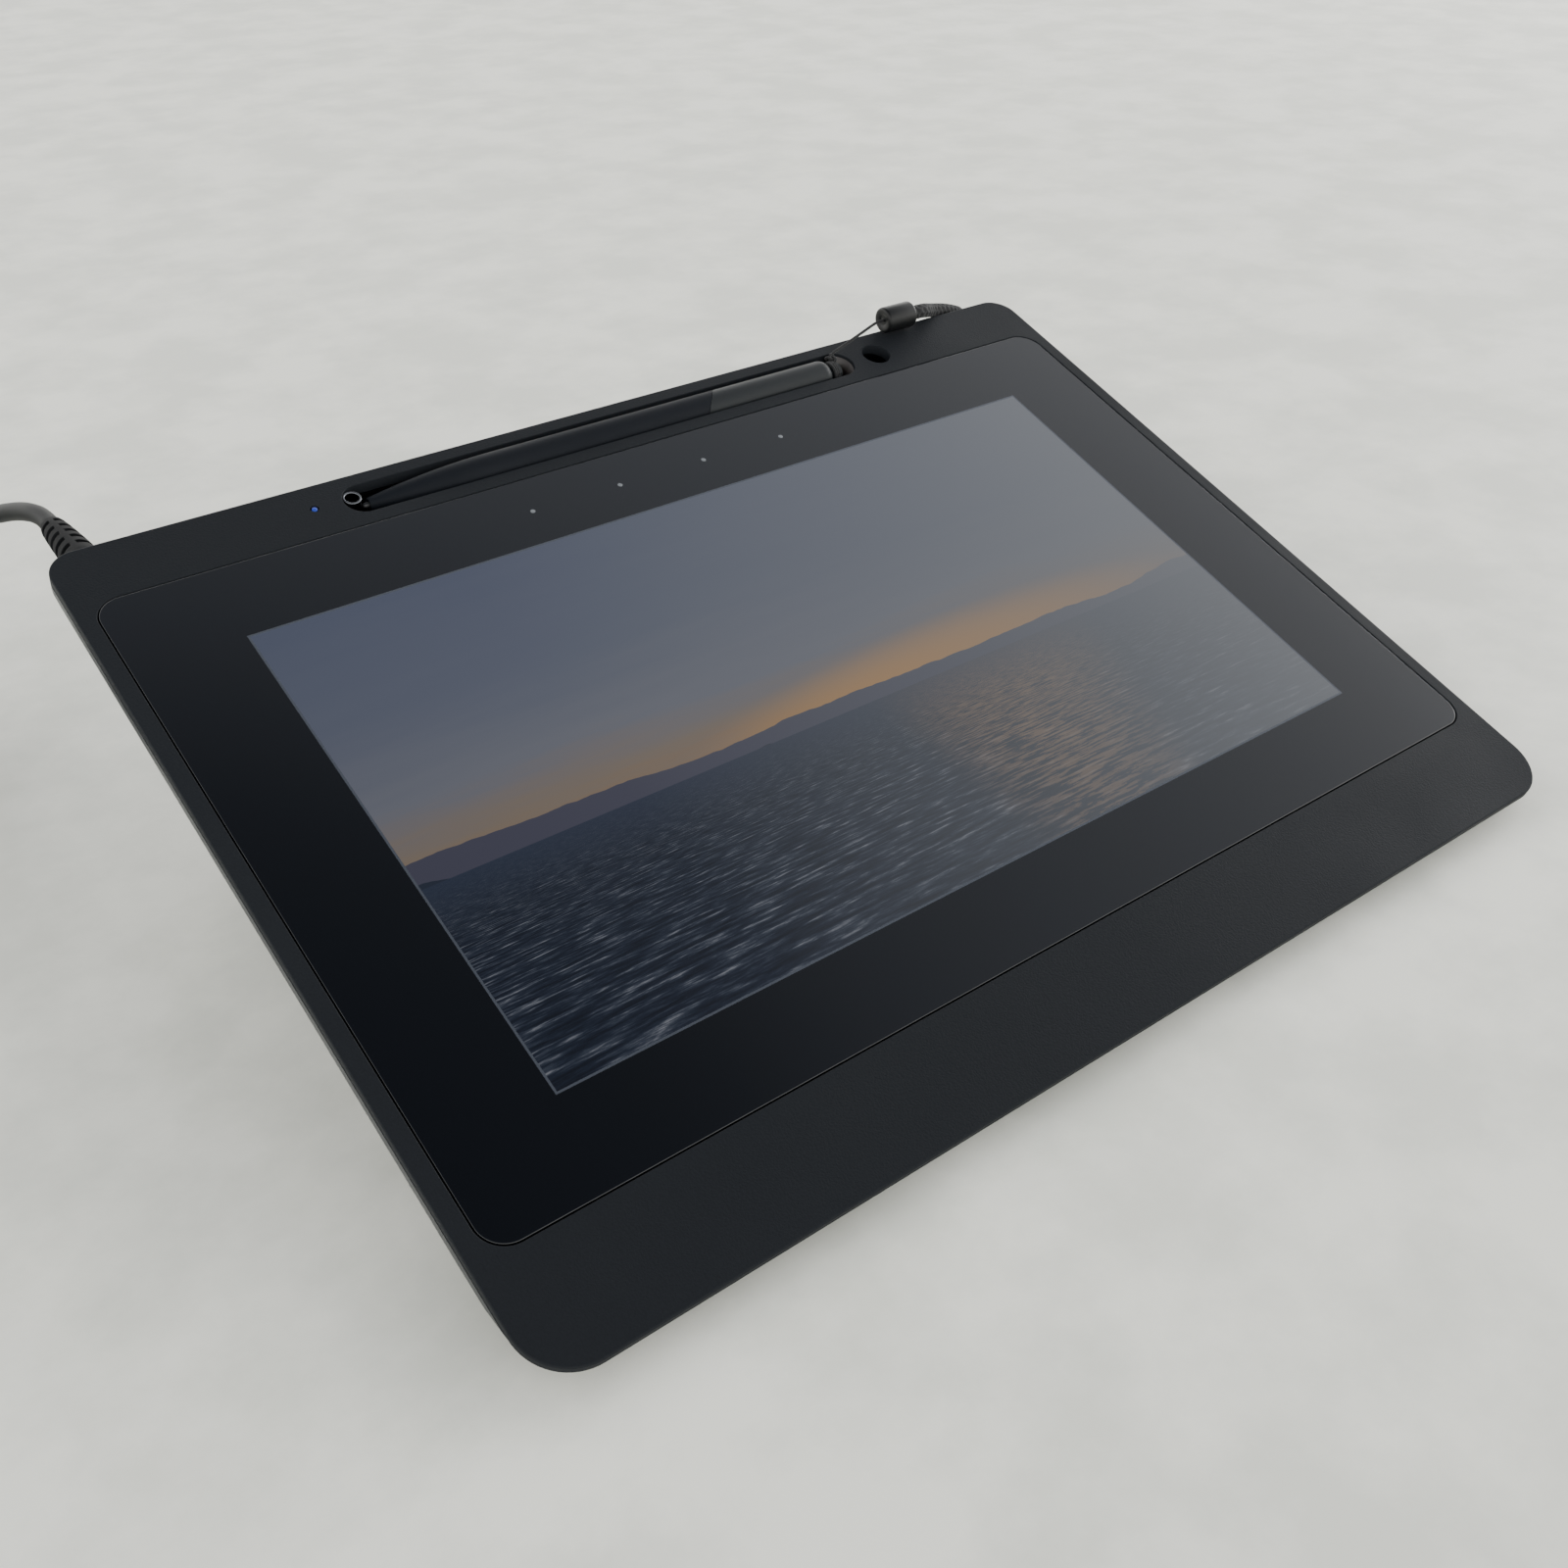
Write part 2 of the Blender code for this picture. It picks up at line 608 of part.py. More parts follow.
# Flat flex from the panel's front edge round the mid-frame to the main board
FLEX_LEFT = -0.0200
FLEX_RIGHT = 0.0160
FLEX_THICKNESS = 0.00025
FLEX_TURN = 0.0034
FLEX_DROP = 0.0007
FLEX_RISE_START = -0.0240
FLEX_RISE_END = -0.0140
FLEX_END = -0.0060
flex_level = CHASSIS_BOTTOM + FLEX_DROP
flex_front = -PANEL_REACH - FLEX_TURN
flex_path = (
    (-PANEL_REACH - CLEARANCE, PANEL_TOP + PANEL_THICKNESS / 2),
    (flex_front, PANEL_TOP + PANEL_THICKNESS / 2),
    (flex_front, flex_level),
    (FLEX_RISE_START, flex_level),
    (FLEX_RISE_END, BOARD_TOP - CLEARANCE - FLEX_THICKNESS / 2),
    (FLEX_END, BOARD_TOP - CLEARANCE - FLEX_THICKNESS / 2),
)


def ribbon(path, left, right, thickness):
    """A bent strip of even thickness along (y, depth) points."""
    above = []
    below = []
    for index, (y, depth) in enumerate(path):
        before = Vector(path[max(index - 1, 0)])
        after = Vector(path[min(index + 1, len(path) - 1)])
        here = Vector((y, depth))
        into = (here - before).normalized() if index else (after - here).normalized()
        out = (after - here).normalized() if index < len(path) - 1 else into
        middle = (into + out).normalized()
        across = Vector((-middle.y, middle.x)) * (thickness / 2 / max(middle.dot(into), MITRE_SHARE))
        above.append(here + across)
        below.append(here - across)
    outline = above + below[::-1]
    shape = bmesh.new()
    face = shape.faces.new([shape.verts.new((left, point.x, -point.y)) for point in outline])
    grown = bmesh.ops.extrude_face_region(shape, geom=[face])
    far = [item for item in grown["geom"] if isinstance(item, bmesh.types.BMVert)]
    bmesh.ops.translate(shape, verts=far, vec=(right - left, 0, 0))
    bmesh.ops.recalc_face_normals(shape, faces=shape.faces)
    return shape


piece("panel_flex", ribbon(flex_path, FLEX_LEFT, FLEX_RIGHT, FLEX_THICKNESS), SLAB, (0.45, 0.20, 0.04), 0.4)

# Touch-key board behind the glass strip
KEY_BOARD_THICKNESS = 0.0005
piece(
    "touch_key_board",
    pad(
        -KEY_HALF + CLEARANCE, KEY_HALF - CLEARANCE, KEY_FRONT + CLEARANCE, KEY_BACK - CLEARANCE,
        KEY_CORNER, -PANEL_TOP - KEY_BOARD_THICKNESS, -PANEL_TOP,
    ),
    SLAB, BOARD_GREEN, 0.45,
)

# Power light: a clear pipe over a small board
LED_BOARD_HALF = 0.0050
LED_BOARD_REACH = 0.0036
LED_BOARD_THICKNESS = 0.0008
piece(
    "led_light_pipe",
    aimed(rod(LIGHT_RADIUS, -BLOCK_DEPTH, 0), (LIGHT_X, LIGHT_Y, 0)),
    SLAB, (0.20, 0.45, 1.0), 0.2,
)
piece(
    "led_board",
    pad(
        LIGHT_X - LED_BOARD_HALF, LIGHT_X + LED_BOARD_HALF,
        LIGHT_Y - LED_BOARD_REACH, LIGHT_Y + LED_BOARD_REACH, KEY_CORNER,
        -BLOCK_DEPTH - CLEARANCE - LED_BOARD_THICKNESS, -BLOCK_DEPTH - CLEARANCE,
    ),
    SLAB, BOARD_GREEN, 0.45,
)

# Pen tray: trough, round pit at the left, finger scoop at the right
TRAY_WALL = 0.0008
TRAY_TOP = BLOCK_DEPTH + SEAM
TRAY_FLOOR = 0.0012
TROUGH_RADIUS = 0.0046
TROUGH_PAST_SHOULDER = 0.0007
TROUGH_RIGHT = PEN_SHOULDER + TROUGH_PAST_SHOULDER
TRAY_BOTTOM = PEN_SINK + TROUGH_RADIUS + TRAY_FLOOR
PIT_DEPTH = 0.0075
SCOOP_LEDGE = 0.0056
SCOOP_RADIUS = 0.0032
SCOOP_DEPTH = 0.0100
SCOOP_SKIRT = 0.0113
RING_RADIUS = 0.00185
RING_BORE = 0.00135
RING_TOP = 0.0009
RING_FLOOR = 0.0060
RING_STEM_RADIUS = 0.0008
RING_STEM_END = 0.0080
RING_SOCKET_END = 0.0083
pit_x = GROOVE_LEFT + GROOVE_HALF
scoop_x = GROOVE_RIGHT - GROOVE_HALF
ring_x = pit_x - TROUGH_RADIUS + CLEARANCE + RING_RADIUS
pen_tray = piece(
    "pen_tray",
    pad(
        GROOVE_LEFT - TRAY_WALL, GROOVE_RIGHT + TRAY_WALL,
        PEN_LINE - GROOVE_HALF - TRAY_WALL, PEN_LINE + GROOVE_HALF + TRAY_WALL,
        GROOVE_HALF + TRAY_WALL, -TRAY_BOTTOM, -TRAY_TOP,
    ),
    SLAB, DARK_PLASTIC, 0.45,
)
combine(
    pen_tray, "scoop_skirt",
    aimed(
        rod(GROOVE_HALF + TRAY_WALL, -SCOOP_SKIRT, EMBED - TRAY_BOTTOM, ROUND_STEPS), (scoop_x, PEN_LINE, 0),
    ),
    "UNION",
)
combine(
    pen_tray, "trough",
    aimed(
        rod(TROUGH_RADIUS, 0, TROUGH_RIGHT - pit_x, ROUND_STEPS), (pit_x, PEN_LINE, -PEN_SINK), (1, 0, 0),
    ),
    "DIFFERENCE",
)
combine(
    pen_tray, "round_pit",
    aimed(rod(TROUGH_RADIUS, -PIT_DEPTH, 0, ROUND_STEPS), (pit_x, PEN_LINE, 0)),
    "DIFFERENCE",
)
combine(
    pen_tray, "finger_scoop",
    aimed(
        turned((
            (0, -SCOOP_DEPTH), (SCOOP_RADIUS, -SCOOP_DEPTH), (SCOOP_RADIUS, -SCOOP_LEDGE),
            (TROUGH_RADIUS, -TRAY_TOP), (TROUGH_RADIUS, 0), (0, 0),
        )),
        (scoop_x, PEN_LINE, 0),
    ),
    "DIFFERENCE",
)
combine(
    pen_tray, "ring_socket",
    aimed(rod(RING_STEM_RADIUS + CLEARANCE, -RING_SOCKET_END, -SCOOP_LEDGE), (ring_x, PEN_LINE, 0)),
    "DIFFERENCE",
)

ring_bottom = PIT_DEPTH - CLEARANCE
nib_ring = piece(
    "nib_ring",
    aimed(
        turned((
            (0, -RING_STEM_END), (RING_STEM_RADIUS, -RING_STEM_END), (RING_STEM_RADIUS, -ring_bottom),
            (RING_RADIUS, -ring_bottom), (RING_RADIUS, -RING_TOP), (RING_BORE, -RING_TOP),
            (RING_BORE, -RING_FLOOR), (0, -RING_FLOOR),
        )),
        (ring_x, PEN_LINE, 0),
    ),
    SLAB, STEEL, 0.15, 1.0,
)

# Closed tube of the pen stand
STAND_WALL = 0.0009
STAND_FLOOR = 0.0010
STAND_NARROW = 0.0122
STAND_END_RADIUS = 0.0036
stand_bottom = FLOOR_TOP - SEAM
piece(
    "pen_stand_tube",
    aimed(
        turned((
            (0, -stand_bottom), (STAND_END_RADIUS, -stand_bottom),
            (STAND_RADIUS + STAND_WALL, -STAND_NARROW),
            (STAND_RADIUS + STAND_WALL, -TRAY_TOP), (STAND_RADIUS, -TRAY_TOP),
            (STAND_RADIUS, -STAND_NARROW), (STAND_END_RADIUS - STAND_WALL, STAND_FLOOR - stand_bottom),
            (0, STAND_FLOOR - stand_bottom),
        )),
        (STAND_X, PEN_LINE, 0),
    ),
    SLAB, DARK_PLASTIC, 0.5,
)

# Where the boot, the tether and the button pass the back wall
BUTTON_SIDE = 0.0370
BUTTON_X = BUTTON_SIDE - HALF_WIDTH
BUTTON_LEVEL = 0.0070
BUTTON_HALF = 0.0050
BUTTON_REACH = 0.0017
BUTTON_PROUD = 0.0002
BUTTON_CHAMFER = 0.0003
BUTTON_FLANGE = 0.0010
BUTTON_FLANGE_BACK = 0.0024
BUTTON_FLANGE_THICKNESS = 0.0010
BUTTON_STEM = 0.0012
BUTTON_TRAVEL = 0.0008
BOOT_HOLE_RADIUS = 0.0033
TETHER_HOLE_RADIUS = 0.0023
WALL_PASS = 0.0070


def back_wall(depth):
    """Y of the cover's outer back wall at a depth."""
    return SLAB_BACK_REACH - cover_inset(BACK_CURVE, depth, BODY_DEPTH)


CABLE_GATE = in_world((CABLE_EXIT.x, back_wall(-CABLE_EXIT.z), CABLE_EXIT.z))
TETHER_GATE = in_world((TETHER_EXIT.x, back_wall(-TETHER_EXIT.z), TETHER_EXIT.z))


def to_slab(shape):
    """Carry a shape built over the table into the slab's frame."""
    bmesh.ops.transform(shape, matrix=SLAB_MATRIX.inverted(), verts=shape.verts)
    return shape


# Rear cover: shell, bosses and pockets
LEG_FROM_BOARD = 0.0200
LEG_SPREAD = BOARD_RIGHT + LEG_FROM_BOARD
PIVOT_LEVEL = 0.0132
POCKET_WALL = 0.0016
POCKET_SIDE = 0.0004
POCKET_FRONT = 0.0090
POCKET_ROOF_TOP = 0.0082
POCKET_ROOF = 0.0096
PIN_END = 0.0003
MOUNT_HALF = 0.0375
MOUNT_MIDDLE = 0.0100
MOUNT_HOLE_RADIUS = 0.00165
MOUNT_HOLE_DEPTH = 0.0045
MOUNT_BOSS_RADIUS = 0.0045
MOUNT_BOSS_TOP = 0.0117
RECESS = 0.0010
REAR_FOOT_SIDE = 0.0360
REAR_FOOT_FROM_BACK = 0.0172
REAR_FOOT_X = HALF_WIDTH - REAR_FOOT_SIDE
REAR_FOOT_Y = SLAB_BACK_REACH - REAR_FOOT_FROM_BACK
REAR_FOOT_RADIUS = 0.0055
FRONT_FOOT_SIDE = 0.0310
FRONT_FOOT_LENGTH = 0.0500
FRONT_FOOT_FROM_FRONT = 0.0101
FRONT_FOOT_WIDTH = 0.0100
FRONT_FOOT_RIGHT = HALF_WIDTH - FRONT_FOOT_SIDE
FRONT_FOOT_LEFT = FRONT_FOOT_RIGHT - FRONT_FOOT_LENGTH
FRONT_FOOT_FRONT = FRONT_FOOT_FROM_FRONT - SLAB_FRONT_REACH
FRONT_FOOT_BACK = FRONT_FOOT_FRONT + FRONT_FOOT_WIDTH
FRONT_FOOT_CORNER = 0.0030
HEAD_CLEARANCE = 0.0004

LEG_HALF = LEG_THICKNESS / 2
pocket_half = LEG_WIDTH / 2 + POCKET_SIDE
pocket_back = LEG_HINGE_REACH + LEG_HALF + CLEARANCE


def cover_outline(depth, wall, full_depth):
    """The cover's outline at a depth, drawn in by a wall's thickness."""
    half = HALF_WIDTH - wall - cover_inset(SIDE_CURVE - wall, depth, full_depth)
    back = SLAB_BACK_REACH - wall - cover_inset(BACK_CURVE - wall, depth, full_depth)
    front = facet_front(depth) + wall / SIN_TILT
    return rounded(-half, half, front, back, FRONT_CORNER - wall, BACK_CORNER - wall)


def cover_rings(wall, full_depth):
    """Rings of the cover's surface from its rim to its bottom."""
    rings = [at_level(cover_outline(COVER_TOP, wall, full_depth), -COVER_TOP)]
    for step in range(CURVE_STEPS + 1):
        depth = WALL_HEIGHT + (full_depth - WALL_HEIGHT) * math.sin(RIGHT_ANGLE * step / CURVE_STEPS)
        rings.append(at_level(cover_outline(depth, wall, full_depth), -depth))
    return rings


def cover_boss(x, y, radius, top):
    """A post inside the cover that ends within its curved floor."""
    shape = aimed(rod(radius, -BODY_DEPTH, -top), (x, y, 0))
    for vertex in shape.verts:
        if vertex.co.z < -top - EMBED:
            vertex.co.z = EMBED - outside_depth(vertex.co.x, vertex.co.y)
    return shape


def front_foot_shape(side, slack, low, high):
    """A foot's block under the level facet, over the table's own axes."""
    edges = sorted((side * (FRONT_FOOT_LEFT - slack), side * (FRONT_FOOT_RIGHT + slack)))
    front = in_world((0, FRONT_FOOT_FRONT, -facet_depth(FRONT_FOOT_FRONT))).y
    back = in_world((0, FRONT_FOOT_BACK, -facet_depth(FRONT_FOOT_BACK))).y
    return pad(edges[0], edges[1], front - slack, back + slack, FRONT_FOOT_CORNER, low, high)


rear_cover = piece("rear_cover", loft(cover_rings(0, BODY_DEPTH)), SLAB, BLACK_PLASTIC, 0.6)
inside = cover_rings(COVER_WALL, FLOOR_TOP)
inside.insert(0, at_level(cover_outline(COVER_TOP, COVER_WALL, FLOOR_TOP), OVERRUN - COVER_TOP))
combine(rear_cover, "cover_inside", loft(inside), "DIFFERENCE")

cover_posts = [cover_boss(x, y, COVER_BOSS_RADIUS, BOSS_BOTTOM + CLEARANCE) for x, y, seat in SCREW_PLACES]
mount_places = [
    (x, y)
    for x in (-MOUNT_HALF, MOUNT_HALF)
    for y in (MOUNT_MIDDLE - MOUNT_HALF, MOUNT_MIDDLE + MOUNT_HALF)
]
for x, y in mount_places:
    cover_posts.append(cover_boss(x, y, MOUNT_BOSS_RADIUS, MOUNT_BOSS_TOP))
for side in (-1, 1):
    centre = side * LEG_SPREAD
    cover_posts.append(box(
        (centre - pocket_half - POCKET_WALL, POCKET_FRONT - POCKET_WALL, -FLOOR_TOP - EMBED),
        (centre + pocket_half + POCKET_WALL, pocket_back + POCKET_WALL, -POCKET_ROOF_TOP),
    ))
combine(rear_cover, "cover_posts", together(cover_posts), "UNION")

pockets = []
pin_bores = []
for side in (-1, 1):
    centre = side * LEG_SPREAD
    pockets.append(box(
        (centre - pocket_half, POCKET_FRONT, -BODY_DEPTH - OVERRUN),
        (centre + pocket_half, pocket_back, -POCKET_ROOF),
    ))
    reach = pocket_half + POCKET_WALL + OVERRUN
    pin_bores.append(aimed(
        rod(PIN_RADIUS + CLEARANCE, -reach, reach), (centre, LEG_HINGE_REACH, -PIVOT_LEVEL), (1, 0, 0)
    ))
combine(rear_cover, "leg_pockets", together(pockets), "DIFFERENCE")
combine(rear_cover, "pin_bores", together(pin_bores), "DIFFERENCE")

holes = []
for x, y, seat in SCREW_PLACES:
    holes.append(aimed(
        turned((
            (0, -BODY_DEPTH - OVERRUN), (SCREW_HEAD_RADIUS + HEAD_CLEARANCE, -BODY_DEPTH - OVERRUN),
            (SCREW_HEAD_RADIUS + HEAD_CLEARANCE, -seat), (SCREW_RADIUS + CLEARANCE, -seat),
            (SCREW_RADIUS + CLEARANCE, -BOSS_BOTTOM), (0, -BOSS_BOTTOM),
        ), SMALL_STEPS),
        (x, y, 0),
    ))
for x, y in mount_places:
    mount_hole = rod(MOUNT_HOLE_RADIUS, -BODY_DEPTH - OVERRUN, MOUNT_HOLE_DEPTH - BODY_DEPTH)
    holes.append(aimed(mount_hole, (x, y, 0)))
for side in (-1, 1):
    holes.append(aimed(
        rod(REAR_FOOT_RADIUS + CLEARANCE, -BODY_DEPTH - OVERRUN, RECESS - BODY_DEPTH, ROUND_STEPS),
        (side * REAR_FOOT_X, REAR_FOOT_Y, 0),
    ))
    holes.append(to_slab(front_foot_shape(side, CLEARANCE, FOOT_HEIGHT - OVERRUN, FOOT_HEIGHT + RECESS)))
combine(rear_cover, "underside_holes", together(holes), "DIFFERENCE")
combine(
    rear_cover, "back_holes",
    together([
        to_slab(aimed(rod(BOOT_HOLE_RADIUS, -WALL_PASS, WALL_PASS, ROUND_STEPS), CABLE_GATE, (0, 1, 0))),
        to_slab(aimed(rod(TETHER_HOLE_RADIUS, -WALL_PASS, WALL_PASS), TETHER_GATE, (0, 1, 0))),
        aimed(
            pad(
                -BUTTON_HALF - CLEARANCE, BUTTON_HALF + CLEARANCE,
                -BUTTON_REACH - CLEARANCE, BUTTON_REACH + CLEARANCE,
                BUTTON_REACH + CLEARANCE, -WALL_PASS, WALL_PASS,
            ),
            (BUTTON_X, SLAB_BACK_REACH, -BUTTON_LEVEL), (0, 1, 0),
        ),
    ]),
    "DIFFERENCE",
)

# Power button and its switch
SWITCH_BOARD_HALF = 0.0070
SWITCH_BOARD_TOP = 0.0050
SWITCH_FROM_BACK = 0.0106
SWITCH_BOARD_Y = SLAB_BACK_REACH - SWITCH_FROM_BACK
SWITCH_BOARD_THICKNESS = 0.0012
SWITCH_HALF = 0.0030
SWITCH_REACH = 0.0024
SWITCH_DEPTH = 0.0017
PLUNGER_RADIUS = 0.0010
PLUNGER_LENGTH = 0.0006
plunger_tip = SWITCH_BOARD_Y + SWITCH_BOARD_THICKNESS + SWITCH_DEPTH + PLUNGER_LENGTH
stem_tip = plunger_tip + CLEARANCE + BUTTON_TRAVEL
flange_back = SLAB_BACK_REACH - BUTTON_FLANGE_BACK
flange_front = flange_back - BUTTON_FLANGE_THICKNESS
button_face = SLAB_BACK_REACH + BUTTON_PROUD


def button_ring(half, reach, level):
    """One ring of the button, along its travel."""
    return at_level(rounded(-half, half, -reach, reach, reach, reach), level)


power_button = piece(
    "power_button",
    aimed(
        loft([
            button_ring(BUTTON_STEM, BUTTON_STEM, stem_tip),
            button_ring(BUTTON_STEM, BUTTON_STEM, flange_front),
            button_ring(BUTTON_HALF + BUTTON_FLANGE, BUTTON_REACH + BUTTON_FLANGE, flange_front),
            button_ring(BUTTON_HALF + BUTTON_FLANGE, BUTTON_REACH + BUTTON_FLANGE, flange_back),
            button_ring(BUTTON_HALF, BUTTON_REACH, flange_back),
            button_ring(BUTTON_HALF, BUTTON_REACH, button_face - BUTTON_CHAMFER),
            button_ring(BUTTON_HALF - BUTTON_CHAMFER, BUTTON_REACH - BUTTON_CHAMFER, button_face),
        ]),
        (BUTTON_X, 0, -BUTTON_LEVEL), (0, 1, 0),
    ),
    SLAB, DARK_PLASTIC, 0.4, place=(BUTTON_X, button_face, -BUTTON_LEVEL),
)
switch_board = piece(
    "power_switch_board",
    box(
        (BUTTON_X - SWITCH_BOARD_HALF, SWITCH_BOARD_Y, CLEARANCE - FLOOR_TOP),
        (BUTTON_X + SWITCH_BOARD_HALF, SWITCH_BOARD_Y + SWITCH_BOARD_THICKNESS, -SWITCH_BOARD_TOP),
    ),
    SLAB, BOARD_GREEN, 0.45,
)
switch_face = SWITCH_BOARD_Y + SWITCH_BOARD_THICKNESS + SWITCH_DEPTH
combine(
    switch_board, "switch_body",
    box(
        (BUTTON_X - SWITCH_HALF, switch_face - SWITCH_DEPTH - EMBED, -BUTTON_LEVEL - SWITCH_REACH),
        (BUTTON_X + SWITCH_HALF, switch_face, -BUTTON_LEVEL + SWITCH_REACH - EMBED),
    ),
    "UNION",
)
combine(
    switch_board, "switch_plunger",
    aimed(rod(PLUNGER_RADIUS, switch_face - EMBED, plunger_tip), (BUTTON_X, 0, -BUTTON_LEVEL), (0, 1, 0)),
    "UNION",
)

# Legs: a bar with a round head on its pin, and a rubber tip that meets the table
TIP_LENGTH = 0.0060
TONGUE_HALF = 0.0090
TONGUE_REACH = 0.0016
TONGUE_LENGTH = 0.0040
LEG_SOFTEN = 0.0006
HEAD_STEPS = 8
pivot_height = in_world((0, LEG_HINGE_REACH, -PIVOT_LEVEL)).z
leg_length = pivot_height / COS_TILT
bar_length = leg_length - TIP_LENGTH


def side_prism(outline, left, right):
    """A (y, z) outline made solid along X."""
    shape = bmesh.new()
    face = shape.faces.new([shape.verts.new((left, y, z)) for y, z in outline])
    grown = bmesh.ops.extrude_face_region(shape, geom=[face])
    far = [item for item in grown["geom"] if isinstance(item, bmesh.types.BMVert)]
    bmesh.ops.translate(shape, verts=far, vec=(right - left, 0, 0))
    bmesh.ops.recalc_face_normals(shape, faces=shape.faces)
    return shape


def table_drop(offset):
    """Distance from the pivot down the leg to the table, at an offset in Y."""
    return (pivot_height + offset * SIN_TILT) / COS_TILT


for side, word in ((-1, "left"), (1, "right")):
    centre = side * LEG_SPREAD
    pivot = (centre, LEG_HINGE_REACH, -PIVOT_LEVEL)
    head = [
        (
            LEG_HINGE_REACH + LEG_HALF * math.cos(HALF_TURN * step / HEAD_STEPS),
            -PIVOT_LEVEL + LEG_HALF * math.sin(HALF_TURN * step / HEAD_STEPS),
        )
        for step in range(HEAD_STEPS + 1)
    ]
    bar = head + [
        (LEG_HINGE_REACH - LEG_HALF, -PIVOT_LEVEL - bar_length),
        (LEG_HINGE_REACH + LEG_HALF, -PIVOT_LEVEL - bar_length),
    ]
    leg = piece(
        word + "_leg", side_prism(bar, centre - LEG_WIDTH / 2, centre + LEG_WIDTH / 2),
        SLAB, BLACK_PLASTIC, 0.5, place=pivot,
    )
    soften(leg, LEG_SOFTEN, 1)
    reach = LEG_WIDTH / 2 + OVERRUN
    bore = rod(PIN_RADIUS + CLEARANCE, -reach, reach)
    combine(leg, word + "_pivot_bore", aimed(bore, pivot, (1, 0, 0)), "DIFFERENCE")
    combine(
        leg, word + "_tip_socket",
        box(
            (centre - TONGUE_HALF - CLEARANCE, LEG_HINGE_REACH - TONGUE_REACH - CLEARANCE,
             -PIVOT_LEVEL - bar_length - OVERRUN),
            (centre + TONGUE_HALF + CLEARANCE, LEG_HINGE_REACH + TONGUE_REACH + CLEARANCE,
             -PIVOT_LEVEL - bar_length + TONGUE_LENGTH + CLEARANCE),
        ),
        "DIFFERENCE",
    )
    tip_top = -PIVOT_LEVEL - bar_length - SEAM
    tip = piece(
        word + "_leg_tip",
        side_prism(
            (
                (LEG_HINGE_REACH + LEG_HALF, tip_top),
                (LEG_HINGE_REACH - LEG_HALF, tip_top),
                (LEG_HINGE_REACH - LEG_HALF, -PIVOT_LEVEL - table_drop(-LEG_HALF)),
                (LEG_HINGE_REACH + LEG_HALF, -PIVOT_LEVEL - table_drop(LEG_HALF)),
            ),
            centre - LEG_WIDTH / 2, centre + LEG_WIDTH / 2,
        ),
        SLAB, RUBBER, 0.8, place=pivot,
    )
    combine(
        tip, word + "_tongue",
        box(
            (centre - TONGUE_HALF, LEG_HINGE_REACH - TONGUE_REACH, tip_top - EMBED),
            (centre + TONGUE_HALF, LEG_HINGE_REACH + TONGUE_REACH, tip_top + TONGUE_LENGTH),
        ),
        "UNION",
    )
    pin_reach = pocket_half + POCKET_WALL - PIN_END
    piece(
        word + "_hinge_pin", aimed(rod(PIN_RADIUS, -pin_reach, pin_reach), pivot, (1, 0, 0)),
        SLAB, STEEL, 0.3, 1.0,
    )
    piece(
        "front_" + word + "_foot", front_foot_shape(side, 0, 0, FOOT_HEIGHT + RECESS - SEAM),
        TABLE, RUBBER, 0.8,
    )
    piece(
        "rear_" + word + "_foot",
        aimed(
            rod(REAR_FOOT_RADIUS, -BODY_DEPTH - FOOT_HEIGHT, RECESS - SEAM - BODY_DEPTH, ROUND_STEPS),
            (side * REAR_FOOT_X, REAR_FOOT_Y, 0),
        ),
        SLAB, RUBBER, 0.8,
    )

# Screws
for number, (x, y, seat) in enumerate(SCREW_PLACES, 1):
    under_head = seat + CLEARANCE
    piece(
        "cover_screw_" + str(number),
        aimed(
            turned((
                (0, -under_head - SCREW_HEAD_HEIGHT), (SCREW_HEAD_RADIUS, -under_head - SCREW_HEAD_HEIGHT),
                (SCREW_HEAD_RADIUS, -under_head), (SCREW_RADIUS, -under_head),
                (SCREW_RADIUS, -SCREW_TIP), (0, -SCREW_TIP),
            ), SMALL_STEPS),
            (x, y, 0),
        ),
        SLAB, STEEL, 0.35, 1.0,
    )
for number, (x, y) in enumerate(BOARD_SCREWS, 1):
    under_head = BOARD_BOTTOM + CLEARANCE
    piece(
        "board_screw_" + str(number),
        aimed(
            turned((
                (0, -under_head - BOARD_SCREW_HEAD_HEIGHT),
                (BOARD_SCREW_HEAD_RADIUS, -under_head - BOARD_SCREW_HEAD_HEIGHT),
                (BOARD_SCREW_HEAD_RADIUS, -under_head), (BOARD_SCREW_RADIUS, -under_head),
                (BOARD_SCREW_RADIUS, -BOARD_SCREW_TIP), (0, -BOARD_SCREW_TIP),
            ), SMALL_STEPS),
            (x, y, 0),
        ),
        SLAB, STEEL, 0.35, 1.0,
    )

# Pen: barrel with a slanted joint to its tail cap, nib and core
SLANT_SHARE = 0.45
NOSE_RADIUS = 0.0016
NOSE_LENGTH = 0.0337
NOSE_STEPS = 7
NIB_RADIUS = 0.0008
NIB_PROUD = 0.0015
NIB_POINT = 0.0004
NIB_CHANNEL = 0.0012
BARREL_BORE = 0.0029
BARREL_BORE_START = 0.0200
CORE_RADIUS = 0.0026
CORE_END = 0.0204
SPIGOT_START = 0.0209
TAIL_ROUND = 0.0012
NECK_RADIUS = 0.0023
CAP_FLANGE_RADIUS = 0.0028
CAP_FLANGE_THICKNESS = 0.0006
NECK_END = PEN_END - CAP_FLANGE_THICKNESS
pen_place = (0, PEN_LINE, -PEN_SINK)
bore_start = PEN_NOSE + BARREL_BORE_START


def slanted(shape, at):
    """Shear the rings at one place along the pen, so that its joint runs at a slant."""
    for vertex in shape.verts:
        if abs(vertex.co.x - at) < SEAM / 10:
            vertex.co.x += SLANT_SHARE * (vertex.co.y - PEN_LINE)
    return shape


